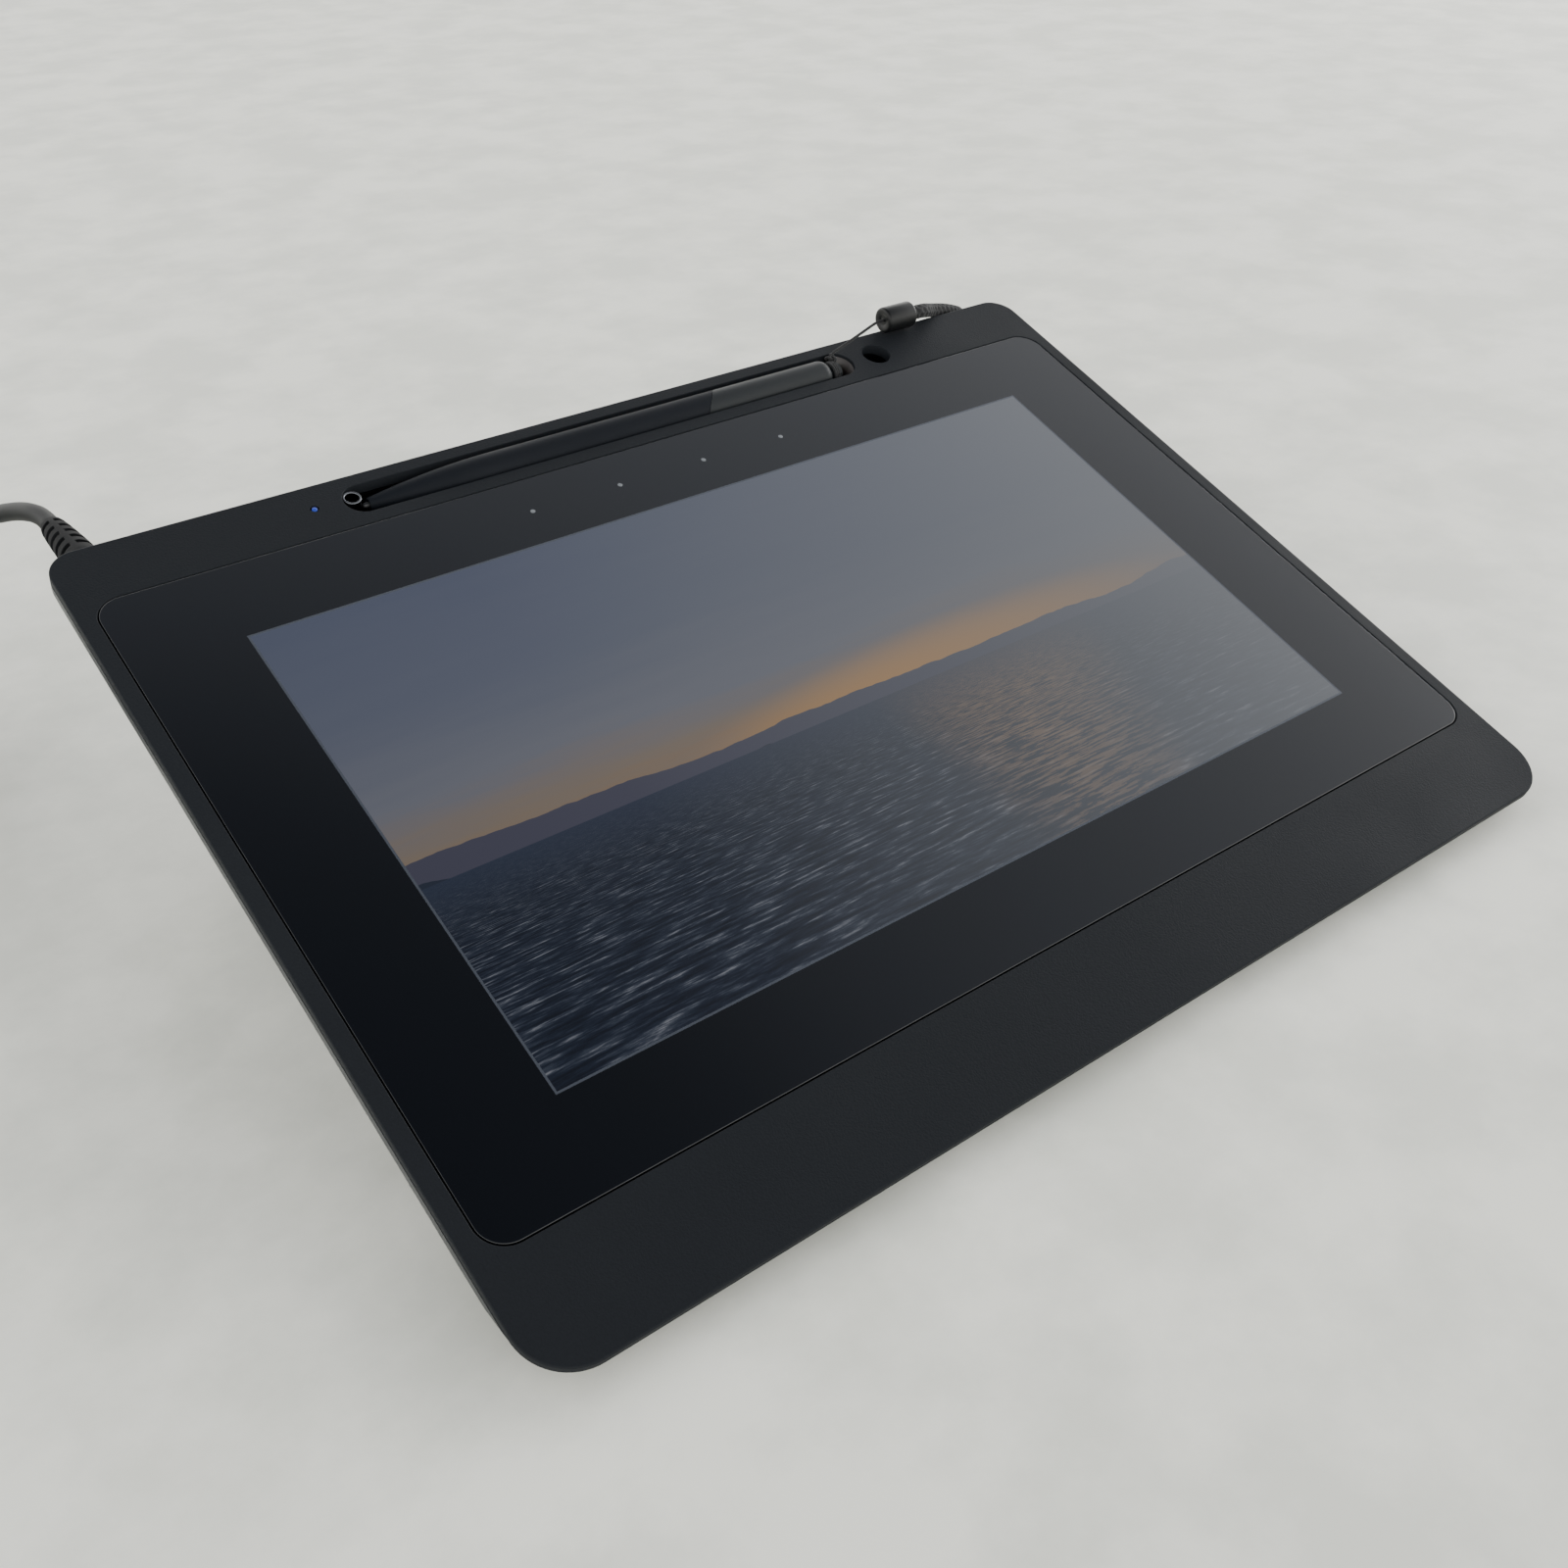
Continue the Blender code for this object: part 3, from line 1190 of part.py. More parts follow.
def along_pen(profile, steps=ROUND_STEPS):
    """A profile turned about the pen's axis."""
    return aimed(turned(profile, steps), pen_place, (1, 0, 0))


taper = []
for step in range(NOSE_STEPS + 1):
    share = step / NOSE_STEPS
    taper.append((
        NOSE_RADIUS + (PEN_RADIUS - NOSE_RADIUS) * (1 - (1 - share) ** 2),
        PEN_NOSE + NOSE_LENGTH * share,
    ))
barrel_profile = [(NIB_CHANNEL, PEN_NOSE)] + taper + [
    (PEN_RADIUS, PEN_BOUNDARY), (BARREL_BORE, PEN_BOUNDARY),
    (BARREL_BORE, bore_start), (NIB_CHANNEL, bore_start),
]
barrel = slanted(along_pen(barrel_profile), PEN_BOUNDARY)
piece("pen_barrel", barrel, SLAB, DARK_PLASTIC, 0.6, place=pen_place)
nib_back = bore_start - CLEARANCE
piece(
    "pen_nib",
    along_pen((
        (0, PEN_NOSE - NIB_PROUD), (NIB_RADIUS / 2, PEN_NOSE - NIB_PROUD),
        (NIB_RADIUS, PEN_NOSE - NIB_PROUD + NIB_POINT), (NIB_RADIUS, nib_back), (0, nib_back),
    ), SMALL_STEPS),
    SLAB, (0.05, 0.05, 0.05), 0.5, place=pen_place,
)
core_start = nib_back + NIB_TRAVEL + CLEARANCE
core_profile = ((0, core_start), (CORE_RADIUS, core_start), (CORE_RADIUS, CORE_END), (0, CORE_END))
piece(
    "pen_core", along_pen(core_profile, SMALL_STEPS), SLAB, (0.30, 0.18, 0.08), 0.5, place=pen_place,
)
cap_start = PEN_BOUNDARY + SEAM
piece(
    "pen_tail_cap",
    slanted(
        along_pen((
            (0, SPIGOT_START), (CORE_RADIUS, SPIGOT_START), (CORE_RADIUS, cap_start),
            (PEN_RADIUS, cap_start), (PEN_RADIUS, PEN_SHOULDER - TAIL_ROUND),
            (PEN_RADIUS - TAIL_ROUND * ROUND_SHARE, PEN_SHOULDER - TAIL_ROUND * ROUND_SHARE),
            (PEN_RADIUS - TAIL_ROUND, PEN_SHOULDER), (NECK_RADIUS, PEN_SHOULDER),
            (NECK_RADIUS, NECK_END), (CAP_FLANGE_RADIUS, NECK_END),
            (CAP_FLANGE_RADIUS, PEN_END), (0, PEN_END),
        )),
        cap_start,
    ),
    SLAB, (0.035, 0.037, 0.040), 0.35, place=pen_place,
)


# Cords
def smooth_route(points, spacing):
    """Points at an even spacing on a smooth curve through the given ones, ends kept straight."""
    given = [Vector(point) for point in points]
    dense = []
    for index in range(1, len(given) - 2):
        before, here, after, beyond = given[index - 1:index + 3]
        reach = (after - here).length / 3
        leave = (after - before).normalized() * reach
        arrive = (beyond - here).normalized() * reach
        curve = geometry.interpolate_bezier(here, here + leave, after - arrive, after, LOOP_POINTS)
        dense.extend(curve[:-1])
    dense.append(given[-2])
    total = sum((after - here).length for here, after in zip(dense, dense[1:]))
    count = max(round(total / spacing), 1)
    route = [given[0], dense[0]]
    walked = 0
    for here, after in zip(dense, dense[1:]):
        step = (after - here).length
        while len(route) < count + 1 and walked + step >= total * (len(route) - 1) / count:
            share = (total * (len(route) - 1) / count - walked) / step
            route.append(here.lerp(after, share))
        walked += step
    route.append(given[-2])
    route.append(given[-1])
    return route


def cord(name, points, parent, diameter, resolution, colour, roughness):
    """A round cord along a path, as a curve with closed ends."""
    curve = bpy.data.curves.new(name, "CURVE")
    curve.dimensions = "3D"
    curve.bevel_depth = diameter / 2
    curve.bevel_resolution = resolution
    curve.use_fill_caps = True
    line = curve.splines.new("POLY")
    line.points.add(len(points) - 1)
    for point, place in zip(line.points, points):
        point.co = (*place, 1)
    made = bpy.data.objects.new(name, curve)
    bpy.context.scene.collection.objects.link(made)
    made.parent = parent
    finish = bpy.data.materials.new(name)
    finish.use_nodes = True
    shader = finish.node_tree.nodes["Principled BSDF"]
    shader.inputs["Base Color"].default_value = (*colour, 1.0)
    shader.inputs["Roughness"].default_value = roughness
    finish.diffuse_color = (*colour, 1.0)
    curve.materials.append(finish)
    return made


def wound(centre, mean_radius, pitch, layers, turns, base, start):
    """Centre line of a flat coil: it spirals in and out and steps down a layer at each reversal."""
    layer_turns = turns / layers
    span = pitch * layer_turns
    points = []
    count = round(turns * LOOP_POINTS)
    for index in range(count + 1):
        turned_so_far = turns * index / count
        layer = min(int(turned_so_far / layer_turns), layers - 1)
        share = turned_so_far / layer_turns - layer
        radius = mean_radius + span * ((MIDDLE_SHARE - share) if layer % 2 == 0 else (share - MIDDLE_SHARE))
        level = base + pitch * (layers - 1)
        for reversal in range(1, layers):
            part = (turned_so_far - reversal * layer_turns) * 2 + MIDDLE_SHARE
            part = min(max(part, 0), 1)
            level -= pitch * part * part * (3 - 2 * part)
        angle = start + 2 * math.pi * turned_so_far
        outward = Vector((math.cos(angle), math.sin(angle), 0))
        points.append(Vector((centre.x, centre.y, level)) + outward * radius)
    return points


def with_straight_ends(points, first_reach, last_reach):
    """Add a straight end to each end of a path."""
    first = (points[0] - points[1]).normalized()
    first.z = 0
    last = (points[-1] - points[-2]).normalized()
    last.z = 0
    return [points[0] + first * first_reach] + points + [points[-1] + last * last_reach]


def least_gap(points, diameter):
    """The smallest clear gap between one loop of a coil and the next."""
    smallest = None
    for index, point in enumerate(points):
        for other in range(index + LOOP_POINTS // 2, len(points) - 1):
            nearest, share = geometry.intersect_point_line(point, points[other], points[other + 1])
            share = min(max(share, 0), 1)
            gap = (point - points[other].lerp(points[other + 1], share)).length - diameter
            smallest = gap if smallest is None else min(smallest, gap)
    return smallest


def band(name, centre, angle, inner, outer, base, top, width, colour):
    """A flat strap round the section of a coil at one angle."""
    slack = inner - CLEARANCE - width * width / inner / 8
    room = outer + CLEARANCE
    low = base - CLEARANCE
    high = top + CLEARANCE
    ring = prism(
        rounded(
            slack - TIE_THICKNESS, room + TIE_THICKNESS, low - TIE_THICKNESS, high + TIE_THICKNESS,
            TIE_CORNER, TIE_CORNER,
        ),
        -width / 2, width / 2,
    )
    reach = width / 2 + OVERRUN
    hollow = pad(slack, room, low, high, TIE_CORNER - TIE_THICKNESS, -reach, reach)
    matrix = Matrix((
        (math.cos(angle), 0, math.sin(angle), centre.x),
        (math.sin(angle), 0, -math.cos(angle), centre.y),
        (0, 1, 0, 0),
        (0, 0, 0, 1),
    ))
    for shape in (ring, hollow):
        bmesh.ops.transform(shape, matrix=matrix, verts=shape.verts)
    strap = piece(name, ring, TABLE, colour, 0.6)
    combine(strap, name + "_opening", hollow, "DIFFERENCE")


TIE_THICKNESS = 0.0006
TIE_CORNER = 0.0020
TIE_WIDTH = 0.0060
COIL_ASIDE = 0.0684
COIL_BEHIND = 0.0460
CABLE_COIL_CENTRE = Vector((CABLE_GATE.x - COIL_ASIDE, CABLE_GATE.y + COIL_BEHIND, 0))
CABLE_COIL_RADIUS = 0.0265
CABLE_PITCH = 0.0050
CABLE_LAYERS = 4
CABLE_TURNS = 10.25
PLUG_REACH = 0.0280
TETHER_COIL_ASIDE = 0.0140
TETHER_COIL_BEHIND = 0.0004
TETHER_COIL_CENTRE = Vector((TETHER_GATE.x - TETHER_COIL_ASIDE, TETHER_GATE.y + TETHER_COIL_BEHIND, 0))
TETHER_COIL_RADIUS = 0.0220
TETHER_PITCH = 0.0045
TETHER_LAYERS = 2
TETHER_TURNS = 1.75
CABLE_TIE_ANGLE = math.radians(225.0)
TETHER_TIE_ANGLE = math.radians(320.0)
cable_base = TIE_THICKNESS + CLEARANCE + CABLE_DIAMETER / 2
tether_base = TIE_THICKNESS + CLEARANCE + TETHER_DIAMETER / 2

# Slotted strain relief, level with the table
BOOT_LENGTH = 0.0320
BOOT_BASE_RADIUS = 0.0041
BOOT_COLLAR = 0.0140
BOOT_TIP_RADIUS = 0.0026
BOOT_NECK_RADIUS = 0.0030
BOOT_FLANGE_RADIUS = 0.0036
BOOT_FACE = 0.0007
BOOT_FLANGE_FRONT = -0.0060
BOOT_FLANGE_BACK = -0.0046
BOOT_SLOT_FIRST = 0.0115
BOOT_SLOT_PITCH = 0.0041
BOOT_SLOT_LENGTH = 0.0064
BOOT_SLOT_WIDTH = 0.0013
BOOT_SLOT_DEPTH = 0.0014
BOOT_SLOTS = 5
boot = turned((
    (0, BOOT_FLANGE_FRONT), (BOOT_FLANGE_RADIUS, BOOT_FLANGE_FRONT), (BOOT_FLANGE_RADIUS, BOOT_FLANGE_BACK),
    (BOOT_NECK_RADIUS, BOOT_FLANGE_BACK), (BOOT_NECK_RADIUS, BOOT_FACE), (BOOT_BASE_RADIUS, BOOT_FACE),
    (BOOT_BASE_RADIUS, BOOT_COLLAR), (BOOT_TIP_RADIUS, BOOT_LENGTH), (0, BOOT_LENGTH),
), LOOP_POINTS)
for vertex in boot.verts:
    if abs(vertex.co.z - BOOT_FACE) < SEAM / 10:
        vertex.co.z += vertex.co.y * TAN_TILT
boot_slots = []
for row in range(2):
    turn = Matrix.Rotation(2 * RIGHT_ANGLE * row, 4, "Z")
    for number in range(BOOT_SLOTS):
        along = BOOT_SLOT_FIRST + BOOT_SLOT_PITCH * number
        share = max(along - BOOT_COLLAR, 0) / (BOOT_LENGTH - BOOT_COLLAR)
        surface = BOOT_BASE_RADIUS + (BOOT_TIP_RADIUS - BOOT_BASE_RADIUS) * share
        slot = box(
            (surface - BOOT_SLOT_DEPTH, -BOOT_SLOT_LENGTH / 2, along - BOOT_SLOT_WIDTH / 2),
            (surface + OVERRUN, BOOT_SLOT_LENGTH / 2, along + BOOT_SLOT_WIDTH / 2),
        )
        bmesh.ops.transform(slot, matrix=turn, verts=slot.verts)
        boot_slots.append(slot)
cable_boot = piece(
    "cable_boot", aimed(boot, CABLE_GATE, (0, 1, 0)), TABLE, DARK_PLASTIC, 0.6, place=CABLE_GATE,
)
combine(cable_boot, "boot_slots", aimed(together(boot_slots), CABLE_GATE, (0, 1, 0)), "DIFFERENCE")

# Lead inside the slab, from the strain relief to the socket
LEAD_DIAMETER = 0.0034
LEAD_LEVEL = 0.0128
LEAD_FROM_HINGE = 0.0158
LEAD_FROM_SCREW = (
    (-0.0014, 0.7091, -0.0054),
    (-0.0006, 0.5500, -0.0053),
    (0.0016, 0.3727, -0.0059),
    (0.0060, 0.2000, -0.0078),
    (0.0120, 0.0727, -0.0101),
    (0.0200, 0.0136, -0.0120),
    (0.0300, -0.0000, -0.0128),
)
LEAD_TO_SOCKET = (
    (-0.0420, -0.0000),
    (-0.0240, -0.0000),
    (-0.0144, -0.0000),
    (-0.0089, -0.0011),
    (-0.0042, -0.0042),
    (-0.0011, -0.0089),
    (0.0000, -0.0144),
)
lead_start = CABLE_GATE + Vector((0, BOOT_FLANGE_FRONT - CLEARANCE, 0))
lead_line = LEG_HINGE_REACH + LEAD_FROM_HINGE
lead_way = in_slab(lead_start).y - lead_line
lead_points = [in_slab(lead_start), in_slab(lead_start - Vector((0, LEAD_DIAMETER, 0)))]
lead_points += [Vector((x - SCREW_X, lead_line + lead_way * share, z)) for x, share, z in LEAD_FROM_SCREW]
lead_points += [Vector((SOCKET_X + x, lead_line + y, -LEAD_LEVEL)) for x, y in LEAD_TO_SOCKET]
lead_points += [
    Vector((SOCKET_X, SOCKET_BACK + CLEARANCE + LEAD_DIAMETER, -SOCKET_LEVEL)),
    Vector((SOCKET_X, SOCKET_BACK + CLEARANCE, -SOCKET_LEVEL)),
]
cord("inner_lead", smooth_route(lead_points, LEAD_DIAMETER * 2), SLAB, LEAD_DIAMETER, 2, RUBBER, 0.5)

# Cable: from the boot down to its coil beside the display
def from_gate(route, gate, floor):
    """Points given across from a gate, with height as a share of the way from a floor up to it."""
    return [Vector((gate.x + x, gate.y + y, floor + (gate.z - floor) * share)) for x, y, share in route]


CABLE_ROUTE = (
    (-0.0006, 0.0410, 0.9943),
    (-0.0017, 0.0479, 0.9571),
    (-0.0031, 0.0540, 0.9129),
    (-0.0051, 0.0599, 0.8617),
    (-0.0079, 0.0679, 0.7827),
    (-0.0123, 0.0759, 0.6594),
    (-0.0206, 0.0823, 0.4826),
    (-0.0286, 0.0844, 0.3361),
    (-0.0345, 0.0842, 0.2337),
    (-0.0394, 0.0834, 0.1570),
    (-0.0493, 0.0819, 0.0523),
)
cable_coil = with_straight_ends(
    wound(
        CABLE_COIL_CENTRE, CABLE_COIL_RADIUS, CABLE_PITCH, CABLE_LAYERS, CABLE_TURNS,
        cable_base, RIGHT_ANGLE,
    ),
    CABLE_DIAMETER, PLUG_REACH,
)
cable_start = CABLE_GATE + Vector((0, BOOT_LENGTH + CLEARANCE, 0))
coil_entry = cable_coil[0] + (cable_coil[0] - cable_coil[1]).normalized() * CLEARANCE
cable_points = [cable_start, cable_start + Vector((0, CABLE_DIAMETER, 0))]
coil_top = cable_base + CABLE_PITCH * (CABLE_LAYERS - 1)
cable_points += from_gate(CABLE_ROUTE, CABLE_GATE, coil_top)
cable_points += [coil_entry + (cable_coil[0] - cable_coil[1]).normalized() * CABLE_DIAMETER, coil_entry]
cord("cable_run", smooth_route(cable_points, CABLE_DIAMETER * 2), TABLE, CABLE_DIAMETER, 3, RUBBER, 0.5)
cord("cable_coil", cable_coil, TABLE, CABLE_DIAMETER, 1, RUBBER, 0.5)
print("cable coil, least gap in mm:", round(least_gap(cable_coil, CABLE_DIAMETER) * 1000, 3))
cable_span = CABLE_PITCH * CABLE_TURNS / CABLE_LAYERS
band(
    "cable_tie", CABLE_COIL_CENTRE, CABLE_TIE_ANGLE,
    CABLE_COIL_RADIUS - cable_span / 2 - CABLE_DIAMETER / 2,
    CABLE_COIL_RADIUS + cable_span / 2 + CABLE_DIAMETER / 2,
    cable_base - CABLE_DIAMETER / 2,
    cable_base + CABLE_PITCH * (CABLE_LAYERS - 1) + CABLE_DIAMETER / 2,
    TIE_WIDTH, RUBBER,
)

# Plug on the cable's far end, lying on the table
GRIP_HALF = 0.0080
GRIP_LENGTH = 0.0260
GRIP_CORNER = 0.0025
GRIP_SOFTEN = 0.0006
SHELL_HALF = 0.0060
SHELL_REACH = 0.00225
SHELL_LENGTH = 0.0120
SHELL_WALL = 0.0004
SHELL_MOUTH = 0.0085
grip_back = cable_coil[-1] + (cable_coil[-1] - cable_coil[-2]).normalized() * CLEARANCE
plug_grip = piece(
    "plug_grip",
    pad(
        grip_back.x - GRIP_HALF, grip_back.x + GRIP_HALF, grip_back.y - GRIP_LENGTH, grip_back.y,
        GRIP_CORNER, 0, 2 * cable_base,
    ),
    TABLE, RUBBER, 0.5,
)
soften(plug_grip, GRIP_SOFTEN, 1)
shell_back = grip_back.y - GRIP_LENGTH - CLEARANCE
plug_shell = piece(
    "plug_shell",
    box(
        (grip_back.x - SHELL_HALF, shell_back - SHELL_LENGTH, cable_base - SHELL_REACH),
        (grip_back.x + SHELL_HALF, shell_back, cable_base + SHELL_REACH),
    ),
    TABLE, STEEL, 0.25, 1.0,
)
combine(
    plug_shell, "plug_mouth",
    box(
        (grip_back.x - SHELL_HALF + SHELL_WALL, shell_back - SHELL_LENGTH - OVERRUN, cable_base),
        (grip_back.x + SHELL_HALF - SHELL_WALL, shell_back - SHELL_LENGTH + SHELL_MOUTH,
         cable_base + SHELL_REACH - SHELL_WALL),
    ),
    "DIFFERENCE",
)

# Tether: string on the pen's neck, bead on the rim, braided cord down to its coil
BEAD_FROM_TETHER = 0.0170
BEAD_LENGTH = 0.0116
BEAD_FROM_BACK = 0.0007
BEAD_RADIUS = 0.0036
BEAD_RIGHT = TETHER_EXIT.x - BEAD_FROM_TETHER
BEAD_LEFT = BEAD_RIGHT - BEAD_LENGTH
BEAD_Y = SLAB_BACK_REACH - BEAD_FROM_BACK
BEAD_ROUND = 0.0007
STRING_TURNS = 1.5
STRING_PITCH = 0.0013
STRING_PAST_SHOULDER = 0.0008
STRING_START = PEN_SHOULDER + STRING_PAST_SHOULDER
STRING_FROM_PEN = (
    (-0.0007, 0.0032, -0.0015),
    (-0.0001, 0.0037, -0.0003),
    (0.0012, 0.0042, 0.0006),
    (0.0047, 0.0048, 0.0014),
)
STRING_TO_BEAD = (
    (-0.0064, -0.0010, 0.0033),
    (-0.0029, -0.0002, 0.0038),
)
bead_level = BEAD_RADIUS + CLEARANCE
piece(
    "tether_bead",
    aimed(
        turned((
            (0, BEAD_LEFT), (BEAD_RADIUS - BEAD_ROUND, BEAD_LEFT),
            (BEAD_RADIUS - BEAD_ROUND * ROUND_SHARE, BEAD_LEFT + BEAD_ROUND * ROUND_SHARE),
            (BEAD_RADIUS, BEAD_LEFT + BEAD_ROUND),
            (BEAD_RADIUS, BEAD_RIGHT - BEAD_ROUND),
            (BEAD_RADIUS - BEAD_ROUND * ROUND_SHARE, BEAD_RIGHT - BEAD_ROUND * ROUND_SHARE),
            (BEAD_RADIUS - BEAD_ROUND, BEAD_RIGHT), (0, BEAD_RIGHT),
        )),
        (0, BEAD_Y, bead_level), (1, 0, 0),
    ),
    SLAB, DARK_PLASTIC, 0.35, place=(0, BEAD_Y, bead_level),
)
string_radius = NECK_RADIUS + CLEARANCE + STRING_DIAMETER / 2
string_points = []
string_count = round(STRING_TURNS * LOOP_POINTS / 2)
for index in range(string_count + 1):
    share = index / string_count
    angle = 2 * math.pi * STRING_TURNS * (share - 1)
    string_points.append(Vector((
        STRING_START + STRING_PITCH * STRING_TURNS * share,
        PEN_LINE + string_radius * math.cos(angle),
        -PEN_SINK + string_radius * math.sin(angle),
    )))
string_points += [Vector((PEN_END + x, PEN_LINE + y, level)) for x, y, level in STRING_FROM_PEN]
string_points += [Vector((BEAD_LEFT + x, BEAD_Y + y, level)) for x, y, level in STRING_TO_BEAD]
string_points += [
    Vector((BEAD_LEFT - CLEARANCE - STRING_DIAMETER, BEAD_Y, bead_level)),
    Vector((BEAD_LEFT - CLEARANCE, BEAD_Y, bead_level)),
]
cord("tether_string", string_points, SLAB, STRING_DIAMETER, 1, RUBBER, 0.7)

TETHER_RIM_ROUTE = (
    (-0.0062, 0.0014, 0.0019),
    (0.0000, 0.0021, 0.0006),
    (0.0049, 0.0027, -0.0016),
)
TETHER_DROP_ROUTE = (
    (0.0086, 0.0031, 1.0846),
    (0.0108, 0.0059, 0.9679),
    (0.0119, 0.0093, 0.8200),
    (0.0124, 0.0129, 0.6111),
    (0.0126, 0.0162, 0.3673),
    (0.0126, 0.0177, 0.1758),
    (0.0125, 0.0164, 0.0783),
    (0.0121, 0.0131, 0.0209),
)
TETHER_LEAD_ROUTE = (
    (0.0000, 0.0084, 0.9801),
    (0.0001, 0.0121, 0.9279),
    (0.0002, 0.0143, 0.8461),
    (0.0004, 0.0156, 0.7155),
    (0.0012, 0.0172, 0.5066),
    (0.0024, 0.0203, 0.3325),
    (0.0031, 0.0231, 0.2281),
    (0.0020, 0.0249, 0.1567),
    (-0.0013, 0.0260, 0.0992),
)
FERRULE_RADIUS = 0.0034
FERRULE_FRONT = -0.0084
FERRULE_BACK = -0.0034
tether_coil = with_straight_ends(
    wound(
        TETHER_COIL_CENTRE, TETHER_COIL_RADIUS, TETHER_PITCH, TETHER_LAYERS, TETHER_TURNS, tether_base,
        RIGHT_ANGLE,
    ),
    TETHER_DIAMETER, TETHER_DIAMETER,
)
lead_in = (tether_coil[0] - tether_coil[1]).normalized()
lead_out = (tether_coil[-1] - tether_coil[-2]).normalized()
anchor = TETHER_GATE + Vector((0, FERRULE_BACK + CLEARANCE, 0))
past_wall = TETHER_GATE + Vector((0, TETHER_DIAMETER, 0))
tether_lead = [anchor, anchor + Vector((0, TETHER_DIAMETER, 0)), past_wall]
tether_lead += from_gate(TETHER_LEAD_ROUTE, TETHER_GATE, tether_base)
tether_lead += [
    tether_coil[0] + lead_in * (CLEARANCE + TETHER_DIAMETER),
    tether_coil[0] + lead_in * CLEARANCE,
]
bead_end = in_world((BEAD_RIGHT + CLEARANCE, BEAD_Y, bead_level))
tether_run = [bead_end, bead_end + Vector((TETHER_DIAMETER, 0, 0))]
tether_run += [
    in_world((TETHER_EXIT.x + x, SLAB_BACK_REACH + y, level)) for x, y, level in TETHER_RIM_ROUTE
]
tether_run += from_gate(TETHER_DROP_ROUTE, TETHER_GATE, tether_base)
tether_run += [
    tether_coil[-1] + lead_out * (CLEARANCE + TETHER_DIAMETER),
    tether_coil[-1] + lead_out * CLEARANCE,
]
spacing = TETHER_DIAMETER * 2
cord("tether_lead", smooth_route(tether_lead, spacing), TABLE, TETHER_DIAMETER, 3, RUBBER, 0.9)
cord("tether_coil", tether_coil, TABLE, TETHER_DIAMETER, 1, RUBBER, 0.9)
cord("tether_cord", smooth_route(tether_run, spacing), TABLE, TETHER_DIAMETER, 3, RUBBER, 0.9)
print("tether coil, least gap in mm:", round(least_gap(tether_coil, TETHER_DIAMETER) * 1000, 3))
tether_span = TETHER_PITCH * TETHER_TURNS / TETHER_LAYERS
band(
    "tether_tie", TETHER_COIL_CENTRE, TETHER_TIE_ANGLE,
    TETHER_COIL_RADIUS - tether_span / 2 - TETHER_DIAMETER / 2,
    TETHER_COIL_RADIUS + tether_span / 2 + TETHER_DIAMETER / 2,
    tether_base - TETHER_DIAMETER / 2,
    tether_base + TETHER_PITCH * (TETHER_LAYERS - 1) + TETHER_DIAMETER / 2,
    TIE_WIDTH, RUBBER,
)
piece(
    "tether_ferrule",
    aimed(rod(FERRULE_RADIUS, FERRULE_FRONT, FERRULE_BACK, ROUND_STEPS), TETHER_GATE, (0, 1, 0)),
    TABLE, STEEL, 0.3, 1.0, place=TETHER_GATE,
)


def path_length(points):
    """Length of a path."""
    return sum((after - here).length for here, after in zip(points, points[1:]))


print("cable in mm:", round((path_length(cable_points) + path_length(cable_coil)) * 1000))
tether_length = sum(path_length(path) for path in (tether_run, tether_coil, tether_lead))
print("tether in mm:", round(tether_length * 1000))
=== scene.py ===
# %% [markdown]
# # A pen display on two fold-out legs
#
# The object is a thin matt black slab with a flush cover glass. A pen lies in a groove along
# the back edge on a braided tether, and a cable leaves the back left corner. The imported CAD
# model comes in first and stays where it is. Pieces whose shape is already right only get a
# better material. The ones that the eye rests on are made again here with finer surfaces,
# and all but the tied string ride on the CAD body that they belong to. All sizes are in metres.

# %% The tools and the imported frame
import json
import math

import bmesh
import bpy
import numpy as np
from mathutils import Matrix, Vector, geometry


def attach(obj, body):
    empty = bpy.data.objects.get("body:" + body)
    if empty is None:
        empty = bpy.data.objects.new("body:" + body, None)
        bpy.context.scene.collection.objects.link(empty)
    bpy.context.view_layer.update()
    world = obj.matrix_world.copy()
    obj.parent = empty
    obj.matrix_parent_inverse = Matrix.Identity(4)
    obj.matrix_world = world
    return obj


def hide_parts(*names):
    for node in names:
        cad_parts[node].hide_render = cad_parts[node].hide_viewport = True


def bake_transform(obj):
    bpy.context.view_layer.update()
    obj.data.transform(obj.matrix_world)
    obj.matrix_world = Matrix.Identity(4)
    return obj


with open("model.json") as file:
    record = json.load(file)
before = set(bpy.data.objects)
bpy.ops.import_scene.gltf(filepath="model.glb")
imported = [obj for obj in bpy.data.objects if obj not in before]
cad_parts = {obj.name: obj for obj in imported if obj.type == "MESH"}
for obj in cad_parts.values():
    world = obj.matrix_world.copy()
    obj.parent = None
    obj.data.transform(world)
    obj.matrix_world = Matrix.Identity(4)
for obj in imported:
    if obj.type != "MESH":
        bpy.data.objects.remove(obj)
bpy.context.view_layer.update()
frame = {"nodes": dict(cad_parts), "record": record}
nodes = frame["nodes"]
print("pieces in the frame:", len(nodes))

# %% [markdown]
# ## Camera
# The four corners of the lit picture are the best scale cue, because a 10.1 inch panel always
# measures 223.2 by 125.6 mm. One lens and one viewpoint put those corners where the photograph
# shows them. The camera is set from three directions: the way it looks, its up, and their
# cross product, which is its right.

